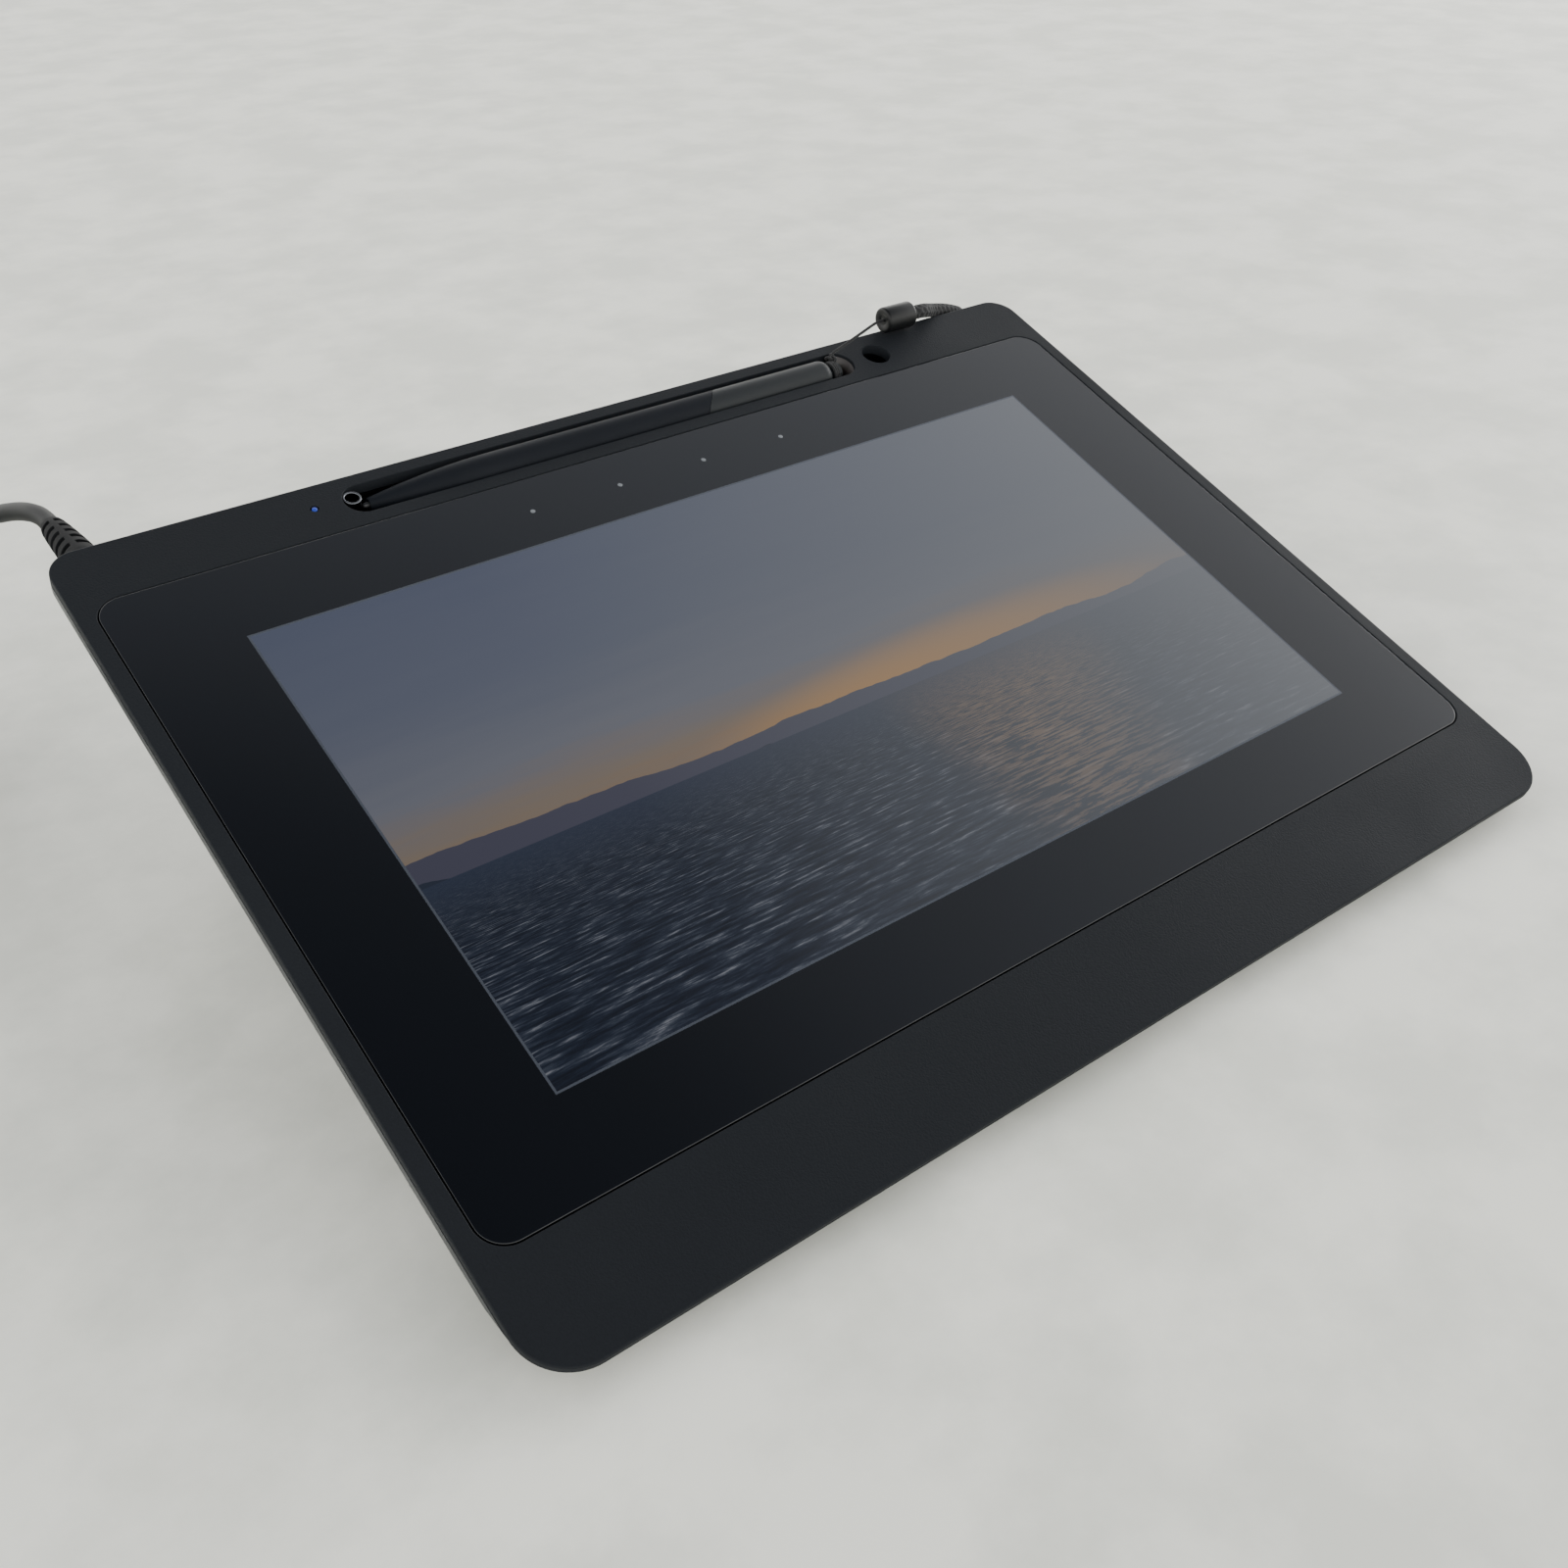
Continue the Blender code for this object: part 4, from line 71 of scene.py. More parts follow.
# %% The camera
LOOK = Vector((0.5013, 0.6518, -0.5691)).normalized()
UP = Vector((0.3460, 0.4519, 0.8223))
VIEWPOINT = (-0.20726, -0.24879, 0.23029)
across = LOOK.cross(UP).normalized()
lens = bpy.data.cameras.new("photo_camera")
lens.lens = 37.75
lens.sensor_width = 36.0
lens.clip_start = 0.01
camera = bpy.data.objects.new("photo_camera", lens)
bpy.context.scene.collection.objects.link(camera)
camera.matrix_world = Matrix.Translation(VIEWPOINT) @ Matrix((
    across, across.cross(LOOK), -LOOK)).transposed().to_4x4()
bpy.context.scene.camera = camera
print("angle of view:", round(math.degrees(lens.angle), 1), "degrees")

# %% [markdown]
# ## The slab's own axes
# The slab leans back by 18 degrees, but it is much easier to think of it lying flat: x to the
# right, y up the slope, z out of the glass, from the middle of the picture. One function
# carries such points into the row frame, so each piece's place ends up in its mesh.

# %% From the slab's axes to the row frame
TILT = math.radians(18.0)
SLAB_SHIFT = 0.0013928
SLAB_HEIGHT = 0.0382356


def on_slab(points):
    """Turn points about X by the tilt, then shift and raise them: y cos t - z sin t + shift,
    and y sin t + z cos t + height."""
    x, y, z = np.moveaxis(np.asarray(points, float), -1, 0)
    return np.stack((
        x,
        y * math.cos(TILT) - z * math.sin(TILT) + SLAB_SHIFT,
        y * math.sin(TILT) + z * math.cos(TILT) + SLAB_HEIGHT,
    ), axis=-1)


print("picture centre at", on_slab((0, 0, 0)).round(4))

# %% [markdown]
# ## One way to make every mesh
# Each piece is a sheet of points worked out by numpy, with rows along one parameter and
# columns along the other. Neighbours make quads. Rows and columns that land on each other
# are welded, which closes seams and poles, and then all faces are turned outwards.

# %% A mesh from sheets of points
WELD = 1e-6


def mark_surface(mesh, spots):
    """Give each corner of a face the surface coordinates of its point."""
    corner = np.empty(len(mesh.loops), int)
    mesh.loops.foreach_get("vertex_index", corner)
    mesh.uv_layers.new(name="surface").data.foreach_set("uv", spots[corner].ravel())


def make_piece(name, sheets, body, slot, finish=None, flats=(), marks=None, sharp=35.0):
    """One mesh from sheets: corner i, j joins i, j+1, then i+1, j+1, then i+1, j. A flat is
    points with ready triangles, shaded flat, and marks are each sheet's surface coordinates.
    The finish is the slot's own unless another is named."""
    points, faces, start = [], [], 0
    for sheet in sheets:
        rows, columns = sheet.shape[:2]
        index = start + np.arange(rows * columns).reshape(rows, columns)
        corners = (index[:-1, :-1], index[:-1, 1:], index[1:, 1:], index[1:, :-1])
        faces.extend(np.stack(corners, axis=-1).reshape(-1, 4).tolist())
        points.append(sheet.reshape(-1, 3))
        start += rows * columns
    curved = len(faces)
    for spots, triangles in flats:
        faces.extend((triangles + start).tolist())
        points.append(spots)
        start += len(spots)
    mesh = bpy.data.meshes.new(name)
    mesh.from_pydata(np.concatenate(points).tolist(), [], faces)
    mesh.polygons.foreach_set("use_smooth", np.arange(len(faces)) < curved)
    if marks is not None:
        mark_surface(mesh, np.concatenate([mark.reshape(-1, 2) for mark in marks]))
    shape = bmesh.new()
    shape.from_mesh(mesh)
    bmesh.ops.remove_doubles(shape, verts=shape.verts, dist=WELD)
    bmesh.ops.recalc_face_normals(shape, faces=shape.faces)
    shape.to_mesh(mesh)
    shape.free()
    smooth = np.empty(len(mesh.polygons), bool)
    mesh.polygons.foreach_get("use_smooth", smooth)
    mesh.set_sharp_from_angle(angle=math.radians(sharp))
    mesh.polygons.foreach_set("use_smooth", smooth)
    mesh.materials.append(finishes[finish or slot])
    made = bpy.data.objects.new(name, mesh)
    bpy.context.scene.collection.objects.link(made)
    if body:
        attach(made, body)
    print(name, "has", len(mesh.polygons), "faces")
    return made


# %% Outlines, levels and turned shapes
def rounded(left, right, front, back, front_radius, back_radius, steps=16):
    """A rectangle with round corners as (x, y) points: each corner's centre plus its radius
    times the cosine and sine of an angle that sweeps a quarter turn."""
    corners = np.array((
        (left + front_radius, front + front_radius, front_radius, 1.0),
        (right - front_radius, front + front_radius, front_radius, 1.5),
        (right - back_radius, back - back_radius, back_radius, 0.0),
        (left + back_radius, back - back_radius, back_radius, 0.5),
    ))
    x, y, radius, start = (corners[:, column:column + 1] for column in range(4))
    angle = start * math.pi + np.linspace(0, math.pi / 2, steps + 1)
    outline = np.stack((x + radius * np.cos(angle), y + radius * np.sin(angle)), axis=-1)
    outline = outline.reshape(-1, 2)
    return np.vstack((outline, outline[:1]))


def levels(rings):
    """Outlines, each at its own height, stacked as the rows of one sheet on the slab."""
    stacked = [np.column_stack((outline, np.full(len(outline), height))) for outline, height in rings]
    return on_slab(np.array(stacked))


def flat_between(outlines, height):
    """The flat between an outline and its holes. All points are joined into triangles, and a
    triangle stays if a line to the right from its middle crosses the outlines an odd number
    of times."""
    loops = [outline[:-1] for outline in outlines]
    first = np.cumsum([0] + [len(loop) for loop in loops])
    edges = np.concatenate([
        np.column_stack((np.arange(len(loop)), np.roll(np.arange(len(loop)), -1))) + start
        for loop, start in zip(loops, first)
    ])
    spots = [Vector(spot) for spot in np.concatenate(loops).tolist()]
    found = geometry.delaunay_2d_cdt(spots, edges.tolist(), [], 0, 1e-7)
    plan, triangles = np.array(found[0]), np.array(found[2])
    x, y = (plan[triangles].mean(axis=1)[:, axis, None] for axis in (0, 1))
    from_x, from_y = np.concatenate(loops)[edges[:, 0]].T
    to_x, to_y = np.concatenate(loops)[edges[:, 1]].T
    rise = np.where(to_y == from_y, 1, to_y - from_y)
    passes = ((from_y > y) != (to_y > y)) & (x < from_x + (to_x - from_x) * (y - from_y) / rise)
    kept = triangles[passes.sum(axis=1) % 2 == 1]
    return on_slab(np.column_stack((plan, np.full(len(plan), height)))), kept


def turned(profile, centre, axis, steps=48):
    """A profile of (radius, reach) rows spun about an axis: centre + reach along the axis +
    radius times the cosine of one side direction and the sine of the other."""
    axis = np.asarray(axis, float) / np.linalg.norm(axis)
    side = np.cross(axis, (0, 0, 1) if abs(axis[2]) < 0.9 else (1, 0, 0))
    side /= np.linalg.norm(side)
    other = np.cross(axis, side)
    angle = np.linspace(0, 2 * math.pi, steps + 1)[None, :, None]
    radius, reach = (np.asarray(profile, float)[:, column][:, None, None] for column in (0, 1))
    return np.asarray(centre) + reach * axis + radius * (np.cos(angle) * side + np.sin(angle) * other)


def quarter(radius, steps=5):
    """A quarter-round edge as (inset, drop) rows: r(1 - sin a) and r(1 - cos a)."""
    angle = np.linspace(0, math.pi / 2, steps + 1)
    return np.column_stack((radius * (1 - np.sin(angle)), radius * (1 - np.cos(angle))))


# %% [markdown]
# ## Routes of the two cords
# A cord is a fixed length of something flexible, so its centre line comes first. The points
# here are the CAD model's, but the tether crosses the slab's back rim a little lower. A Bezier
# piece joins each pair, and its handles run parallel to the chord between the neighbours, so
# the curve is smooth through every point. A coil is a spiral that steps down one layer each
# time it turns back.

# %% Smooth routes
def unit(vectors):
    """Each vector divided by its own length."""
    return vectors / np.linalg.norm(vectors, axis=-1, keepdims=True)


def distances(points):
    """How far along its line each point lies: the running sum of the steps."""
    return np.concatenate(([0], np.cumsum(np.linalg.norm(np.diff(points, axis=0), axis=1))))


def smooth_route(points, spacing, soften=0.005):
    """Bezier pieces between the points, read at an even spacing, then averaged over a short
    window, which opens the tightest bends a little. The first and last runs stay straight."""
    given = np.asarray(points, float)
    here, after = given[1:-2, None], given[2:-1, None]
    reach = np.linalg.norm(after - here, axis=-1, keepdims=True) / 3
    leave = here + unit(after - given[:-3, None]) * reach
    arrive = after - unit(given[3:, None] - here) * reach
    share = np.linspace(0, 1, 24, endpoint=False)[None, :, None]
    rest = 1 - share
    handles = leave * rest + arrive * share
    curve = here * rest ** 3 + 3 * handles * rest * share + after * share ** 3
    dense = np.vstack((given[:1], curve.reshape(-1, 3), given[-2:]))
    walked = distances(dense)
    even = np.linspace(0, walked[-1], int(walked[-1] / spacing) + 1)
    route = np.column_stack([np.interp(even, walked, dense[:, axis]) for axis in range(3)])
    half = int(soften / spacing / 2)
    if half:
        padded = np.vstack((
            2 * route[0] - route[half:0:-1], route, 2 * route[-1] - route[-2:-half - 2:-1]))
        window = np.ones(2 * half + 1) / (2 * half + 1)
        route = np.column_stack([np.convolve(padded[:, axis], window, "valid") for axis in range(3)])
    return route


def wound(centre, mean_radius, pitch, layers, turns, base):
    """Centre line of a coil: the radius goes out and in as a sawtooth over the layers, and the
    height drops one pitch by the curve 3s^2 - 2s^3 round each place where it turns back."""
    gone = np.linspace(0, turns, round(turns * 24) + 1)
    layer_turns = turns / layers
    layer = np.minimum((gone / layer_turns).astype(int), layers - 1)
    share = gone / layer_turns - layer
    radius = mean_radius + pitch * layer_turns * np.where(layer % 2 == 0, 0.5 - share, share - 0.5)
    level = np.full_like(gone, base + pitch * (layers - 1))
    for reversal in range(1, layers):
        step = np.clip((gone - reversal * layer_turns) * 2 + 0.5, 0, 1)
        level -= pitch * step * step * (3 - 2 * step)
    angle = math.pi / 2 + 2 * math.pi * gone
    return np.column_stack((centre[0] + radius * np.cos(angle), centre[1] + radius * np.sin(angle), level))


def run_out(points, reach):
    """The points with one more at their end, straight on and level."""
    along = (points[-1] - points[-2]) * (1, 1, 0)
    return np.vstack((points, points[-1] + unit(along) * reach))


def length_of(points):
    """The whole length of a line of points."""
    return float(distances(points)[-1])


# %% The cable's route
CABLE_DIAMETER = 0.0045
CABLE_GATE = np.array((-0.1296, 0.1010249, 0.0611449))
BOOT_LENGTH, BOOT_GAP = 0.0320, 0.0003
CABLE_COIL = {"mean_radius": 0.0265, "pitch": 0.0050, "layers": 4, "turns": 10.25, "base": 0.00315}
cable_coil = wound(CABLE_GATE + (-0.0684, 0.0460, 0), **CABLE_COIL)
cable_coil = run_out(run_out(cable_coil, 0.0277), 0.0003)
cable_start = CABLE_GATE + (0, BOOT_LENGTH + BOOT_GAP, 0)
cable_route = smooth_route(np.vstack((
    cable_start,
    cable_start + (0, CABLE_DIAMETER, 0),
    (
        (-0.1302, 0.1420, 0.0609), (-0.1313, 0.1489, 0.0593), (-0.1327, 0.1550, 0.0574),
        (-0.1347, 0.1609, 0.0552), (-0.1375, 0.1689, 0.0518), (-0.1419, 0.1769, 0.0465),
        (-0.1502, 0.1833, 0.0389), (-0.1582, 0.1854, 0.0326), (-0.1641, 0.1852, 0.0282),
        (-0.1690, 0.1844, 0.0249), (-0.1789, 0.1829, 0.0204),
    ),
    cable_coil,
)), 0.0012)
print("cable in mm:", round(length_of(cable_route) * 1000))

# %% The tether's route
TETHER_DIAMETER = 0.0040
TETHER_GATE = np.array((0.1220, 0.1011399, 0.0603411))
TETHER_COIL = {"mean_radius": 0.0220, "pitch": 0.0045, "layers": 2, "turns": 1.75, "base": 0.0029}
tether_coil = wound(TETHER_GATE + (-0.0140, 0.0004, 0), **TETHER_COIL)
bead_end = on_slab((0.1040, 0.1015, 0.0038))
tether_route = smooth_route(np.vstack((
    TETHER_GATE + (0, -0.0031, 0),
    TETHER_GATE + (0, 0.0009, 0),
    TETHER_GATE + (0, 0.0040, 0),
    (
        (0.1220, 0.1095, 0.0592), (0.1221, 0.1132, 0.0562), (0.1222, 0.1154, 0.0515),
        (0.1224, 0.1167, 0.0440), (0.1232, 0.1183, 0.0320), (0.1244, 0.1214, 0.0220),
        (0.1251, 0.1242, 0.0160), (0.1240, 0.1260, 0.0119), (0.1207, 0.1271, 0.0086),
    ),
    tether_coil,
    (
        (0.1341, 0.1142, 0.0041), (0.1345, 0.1175, 0.0074), (0.1346, 0.1188, 0.0130),
        (0.1346, 0.1173, 0.0240), (0.1344, 0.1140, 0.0380), (0.1339, 0.1104, 0.0500),
        (0.1328, 0.1070, 0.0585), (0.1306, 0.1042, 0.0652),
    ),
    on_slab(((0.1269, 0.1056, -0.0038), (0.1217, 0.1051, -0.0016), (0.1150, 0.1044, 0.0004))),
    bead_end + (TETHER_DIAMETER, 0, 0),
    bead_end,
)), 0.0004)
print("tether in mm:", round(length_of(tether_route) * 1000))

# %% [markdown]
# ## A tube along a route
# To carry a round section along a curve, each point needs two directions square to the
# curve. Crossing the tangent with a fixed axis gives them, but they twist. The twist from one
# point to the next can be measured and added up, and turning the section back by that sum
# leaves a tube that doesn't wring. Surface coordinates run round it and along it.

# %% Carrying a section along a route
def tube(route, radius, around=16, lean=(0, 0, 1)):
    """route + radius times the cosine and sine of the angle on two side directions, which are
    turned back by the summed twist between neighbours. The radius is a number, or a function
    of the angle and the distance along the route."""
    along = unit(np.gradient(route, axis=0))
    side = unit(np.cross(along, lean))
    other = np.cross(along, side)
    twist = np.arctan2((side[1:] * other[:-1]).sum(1), (side[1:] * side[:-1]).sum(1))
    back = -np.concatenate(([0], np.cumsum(twist)))[:, None, None]
    angle = np.linspace(0, 2 * math.pi, around + 1)[None, :, None]
    walked = distances(route)
    size = radius(angle[..., 0], walked[:, None])[..., None] if callable(radius) else radius
    section = np.cos(angle + back) * side[:, None] + np.sin(angle + back) * other[:, None]
    sheet = route[:, None] + size * section
    first, last = (np.broadcast_to(route[end], sheet[:1].shape) for end in (0, -1))
    sheet = np.concatenate((first, sheet, last))
    walked = np.concatenate((walked[:1], walked, walked[-1:]))
    round_it, along_it = np.broadcast_arrays(angle[..., 0] / (2 * math.pi), walked[:, None] * 1000)
    return sheet, np.stack((round_it, along_it), axis=-1)


# %% [markdown]
# ## Colours and nodes
# Hex colours are written as a screen shows them, but shaders work with linear light, so one
# function turns one into the other. Another adds a node with its settings and links, and the
# short ones after it stand for the nodes that most materials here need.

# %% Colour and node helpers
def colour(text, strength=1.0):
    """A hex colour as linear light: c / 12.92 when dark, else ((c + 0.055) / 1.055) ^ 2.4. The
    strength multiplies it."""
    part = np.array([int(text[place:place + 2], 16) for place in (0, 2, 4)]) / 255
    linear = np.where(part <= 0.04045, part / 12.92, ((part + 0.055) / 1.055) ** 2.4)
    return (*(linear * strength).tolist(), 1.0)


def put(tree, node, inputs):
    """Fill a node's inputs. Each is a number, a colour or another node's output."""
    for place, value in inputs.items():
        if isinstance(value, bpy.types.NodeSocket):
            tree.links.new(value, node.inputs[place])
        else:
            node.inputs[place].default_value = value


def add(tree, kind, inputs=None, **settings):
    """A node of that kind with its settings and its inputs."""
    made = tree.nodes.new(kind)
    for word, value in settings.items():
        setattr(made, word, value)
    put(tree, made, inputs or {})
    return made


def ramp(tree, factor, *stops):
    """Colours along a factor. A stop is a place, a hex colour and, if need be, its strength."""
    made = add(tree, "ShaderNodeValToRGB", {"Fac": factor})
    elements = made.color_ramp.elements
    while len(elements) < len(stops):
        elements.new(1.0)
    for element, (place, *shade) in zip(elements, stops):
        element.position = place
        element.color = colour(*shade)
    return made.outputs["Color"]


def own_place(tree):
    """Where a point lies on its piece, in metres."""
    return add(tree, "ShaderNodeTexCoord").outputs["Object"]


def noise(tree, place, scale, detail=2.0, roughness=0.5):
    """Cloudy noise from 0 to 1, read at that place."""
    return add(tree, "ShaderNodeTexNoise", {
        "Vector": place, "Scale": scale, "Detail": detail, "Roughness": roughness}).outputs["Fac"]


def maths(tree, operation, *values):
    """One arithmetic node on one to three numbers or sockets."""
    return add(tree, "ShaderNodeMath", dict(enumerate(values)), operation=operation).outputs[0]


def blended(tree, factor, first, second):
    """One colour mixed into another."""
    return add(tree, "ShaderNodeMix", {"Factor": factor, 6: first, 7: second}, data_type="RGBA").outputs[2]


def new_finish(name):
    """An empty material: its tree and its shader."""
    finish = bpy.data.materials.new(name)
    finish.use_nodes = True
    return finish, finish.node_tree, finish.node_tree.nodes["Principled BSDF"]


# %% [markdown]
# ## Moulded black plastic
# The housing is injection-moulded ABS. The mould is spark-eroded, which leaves a fine even
# grain that breaks up reflections, so it looks soft grey at a grazing angle and nearly black
# from above. A noise at the grain's width drives a small bump and lightens the colour in
# specks, and a much wider noise varies the roughness a little, as handling does. The real
# grain is about 0.1 mm wide, and it is drawn at 0.45 mm because it wouldn't show otherwise.
# The same function makes the softer grips, rubbers and films with other numbers.

# %% Moulded plastic, in several colours and grains
WEAR, SPECKS, WEAR_WIDTH = 0.06, 1.35, 0.025


def moulded_plastic(name, shade, roughness, grain, depth, shine):
    """Noise 1 / grain across drives the bump and the specks; noise at 25 mm shifts the
    roughness by the wear."""
    finish, tree, shader = new_finish(name)
    place = own_place(tree)
    fine = noise(tree, place, 1 / grain)
    rough = add(tree, "ShaderNodeMapRange", {
        "Value": noise(tree, place, 1 / WEAR_WIDTH, 3.0), "From Min": 0.3, "From Max": 0.7,
        "To Min": roughness - WEAR, "To Max": roughness + WEAR}).outputs["Result"]
    bump = add(tree, "ShaderNodeBump", {"Height": fine, "Strength": 0.6, "Distance": depth}).outputs[0]
    put(tree, shader, {
        "Base Color": blended(tree, fine, colour(shade), colour(shade, SPECKS)), "Normal": bump,
        "Roughness": rough, "IOR": 1.53, "Specular IOR Level": shine})
    return finish


# Each row gives a name, a colour, the roughness, the grain's width and depth, and the shine.
PLASTICS = {
    "matt_black_plastic": ("matt_black_abs", "191b1e", 0.52, 0.00045, 0.00010, 0.06),
    "rear_plastic": ("satin_rear_abs", "1c1e21", 0.40, 0.0003, 0.00004, 0.5),
    "tray_plastic": ("satin_black_abs", "030304", 0.60, 0.0004, 0.00002, 0.06),
    "bead_plastic": ("satin_cord_end", "08090a", 0.42, 0.0004, 0.00002, 0.22),
    # The ledge is paler and warmer than the tray. The warm tint is handling wear, and the paleness is
    # painted sheen for light catching its slope.
    "ledge_wear_and_sheen_plastic": ("fingered_and_sheen_abs", "2c2826", 0.46, 0.0004, 0.00003, 0.5),
    "pen_grip_plastic": ("soft_touch_grip", "0d1015", 0.64, 0.0003, 0.00005, 0.10),
    "pen_cap_plastic": ("satin_grey_cap", "171a1c", 0.54, 0.0004, 0.00001, 0.16),
    "nib_plastic": ("nib_acetal", "1c1d1e", 0.45, 0.0003, 0.00002, 0.5),
    "socket_plastic": ("socket_nylon", "dcd8c6", 0.5, 0.0004, 0.00003, 0.5),
    "backlight_plastic": ("white_polycarbonate", "e6e6e4", 0.4, 0.0005, 0.00002, 0.5),
    "black_rubber": ("black_rubber", "0d0e10", 0.74, 0.0005, 0.00006, 0.10),
    "cable_jacket": ("pvc_jacket", "111314", 0.50, 0.0006, 0.00002, 0.10),
    "flex_film": ("polyimide_film", "9a5a1e", 0.3, 0.0012, 0.00001, 0.5),
    "pen_core_ferrite": ("pen_core_ferrite", "4a3526", 0.55, 0.0005, 0.00004, 0.5),
    "panel_glass": ("panel_glass", "262a31", 0.12, 0.0012, 0.000001, 0.5),
}
finishes = {slot: moulded_plastic(*row) for slot, row in PLASTICS.items()}
print("plastics:", len(finishes))

# %% [markdown]
# ## The picture behind the glass
# The screen shows an evening at a lake: a lavender sky that warms towards the horizon, two
# ranges of hills, and slate-blue water with pale ripples. Ramps and noise on the glass's own
# surface coordinates paint it. They run from 0 to 1 over the picture. Perspective squeezes
# the ripples towards the horizon, so the noise is read at 1 / (depth below the horizon). A
# painted reflection greys the picture towards the right. It stands for the room's light,
# which washes a panel out at a slant.

# %% Sky, hills and water
# The eye's level lies a little above the shore, so 1 / depth stays finite on the water.
HORIZON, EYE_LEVEL = 0.40, 0.035
GLOW_AT, GLOW_REACH, GLOW_MOST, GLOW_FLATNESS = 0.66, 0.16, 0.85, 9.0
CLOUDS_ALONG, CLOUDS_UP, CLOUD_SIZE, CLOUD_LIFT = 1.4, 9.0, 2.4, 0.12
RIPPLES_ALONG, RIPPLES_AWAY, RIPPLE_SIZE = 1.1, 2.9, 5.2
# A range of hills has a seed, the height of its noise, and how far that is lowered.
FAR_HILLS = (3.7, 0.16, -0.045)
NEAR_HILLS = (8.1, 0.30, -0.150)
# The painted reflection: a pale grey laid over the picture, rising towards the right.
REFLECTION_FROM, REFLECTION_TO, REFLECTION_MOST = 0.22, 1.05, 0.84


def stretched_noise(tree, x, y, scale, detail, roughness=0.55):
    """Noise read at the place x, y."""
    place = add(tree, "ShaderNodeCombineXYZ", {"X": x, "Y": y}).outputs[0]
    return noise(tree, place, scale, detail, roughness)


def falling(tree, value, reach, most):
    """A smooth fall from most at 0 to nothing at the reach."""
    return add(tree, "ShaderNodeMapRange", {
        "Value": value, "From Min": 0.0, "From Max": reach, "To Min": most, "To Max": 0.0},
        interpolation_type="SMOOTHSTEP").outputs["Result"]


def sky_light(tree, across, above, glow_side):
    """Lavender by height, with long thin clouds, and a warm glow that is wider than it is high."""
    clouds = stretched_noise(
        tree, maths(tree, "MULTIPLY", across, CLOUDS_ALONG), maths(tree, "MULTIPLY", above, CLOUDS_UP),
        CLOUD_SIZE, 5.0)
    lifted = maths(tree, "MULTIPLY_ADD", clouds, CLOUD_LIFT, above)
    sky = ramp(
        tree, lifted, (0.05, "927049"), (0.12, "807264"), (0.22, "6c6e78"), (0.40, "5b6070"),
        (0.66, "50566a"))
    flat_glow = maths(tree, "MULTIPLY", maths(tree, "POWER", above, 2.0), GLOW_FLATNESS)
    glow = falling(tree, maths(tree, "ADD", glow_side, flat_glow), GLOW_REACH, GLOW_MOST)
    return blended(tree, glow, sky, colour("c4924a"))


def hill_line(tree, across, seed, height, rise):
    """Where hills stand: a noise along the horizon, scaled and lowered."""
    ridge = stretched_noise(tree, across, seed, 2.6, 6.0, 0.5)
    return maths(tree, "MULTIPLY_ADD", ridge, height, rise)


def water_light(tree, across, above, glow_side):
    """Dark water, pale ripples and the glow's broken path over them."""
    depth = maths(tree, "SUBTRACT", EYE_LEVEL, above)
    far = maths(tree, "DIVIDE", 1.0, depth)
    sideways = maths(
        tree, "MULTIPLY", maths(tree, "SUBTRACT", across, 0.5), maths(tree, "MULTIPLY", far, RIPPLES_ALONG))
    ripples = stretched_noise(
        tree, sideways, maths(tree, "MULTIPLY", far, RIPPLES_AWAY), RIPPLE_SIZE, 6.0, 0.68)
    water = ramp(tree, ripples, (0.38, "0d101a"), (0.50, "1c2230"), (0.58, "383e4a"), (0.68, "82848c"))
    path = falling(tree, maths(tree, "MULTIPLY_ADD", depth, 0.03, glow_side), 0.03, 0.6)
    glint = maths(tree, "MULTIPLY", path, maths(tree, "GREATER_THAN", ripples, 0.5))
    water = blended(tree, glint, water, colour("a07c4c"))
    near = maths(tree, "MINIMUM", maths(tree, "MULTIPLY", depth, 8.0), 1.0)
    return blended(tree, near, colour("2c3346"), water)


def picture_light(tree, across, up):
    """Sky above the horizon, the far and the near hills over it, water below, and a painted reflection that
    greys the right.
    """
    above = maths(tree, "SUBTRACT", up, HORIZON)
    glow_side = maths(tree, "POWER", maths(tree, "SUBTRACT", across, GLOW_AT), 2.0)
    sky = sky_light(tree, across, above, glow_side)
    far_hills = maths(tree, "GREATER_THAN", hill_line(tree, across, *FAR_HILLS), above)
    near_hills = maths(tree, "GREATER_THAN", hill_line(tree, across, *NEAR_HILLS), above)
    sky = blended(tree, far_hills, sky, colour("454453"))
    sky = blended(tree, near_hills, sky, colour("242a38"))
    water = water_light(tree, across, above, glow_side)
    whole = blended(tree, maths(tree, "GREATER_THAN", above, 0.0), water, sky)
    # Painted reflection: the picture fades to pale grey towards the right.
    painted_reflection = add(tree, "ShaderNodeMapRange", {
        "Value": across, "From Min": REFLECTION_FROM, "From Max": REFLECTION_TO,
        "To Min": 0.0, "To Max": REFLECTION_MOST}).outputs["Result"]
    return blended(tree, painted_reflection, whole, colour("777a7e"))


# %% The printed and lit cover glass
PICTURE = (0.2232, 0.12555)
FRAME_LINE = 0.00025
finishes["black_cover_glass"], tree, shader = new_finish("printed_cover_glass")
surface = add(tree, "ShaderNodeUVMap", uv_map="surface").outputs[0]
spot = add(tree, "ShaderNodeSeparateXYZ", {"Vector": surface})
past_edge = [
    maths(tree, "MULTIPLY", maths(tree, "SUBTRACT", maths(tree, "ABSOLUTE", maths(
        tree, "SUBTRACT", spot.outputs[axis], 0.5)), 0.5), PICTURE[axis])
    for axis in (0, 1)
]
outside = maths(tree, "MAXIMUM", *past_edge)
lit = maths(tree, "LESS_THAN", outside, 0.0)
line = maths(tree, "COMPARE", outside, FRAME_LINE, FRAME_LINE)
picture = blended(tree, lit, (0, 0, 0, 1), picture_light(tree, spot.outputs["X"], spot.outputs["Y"]))
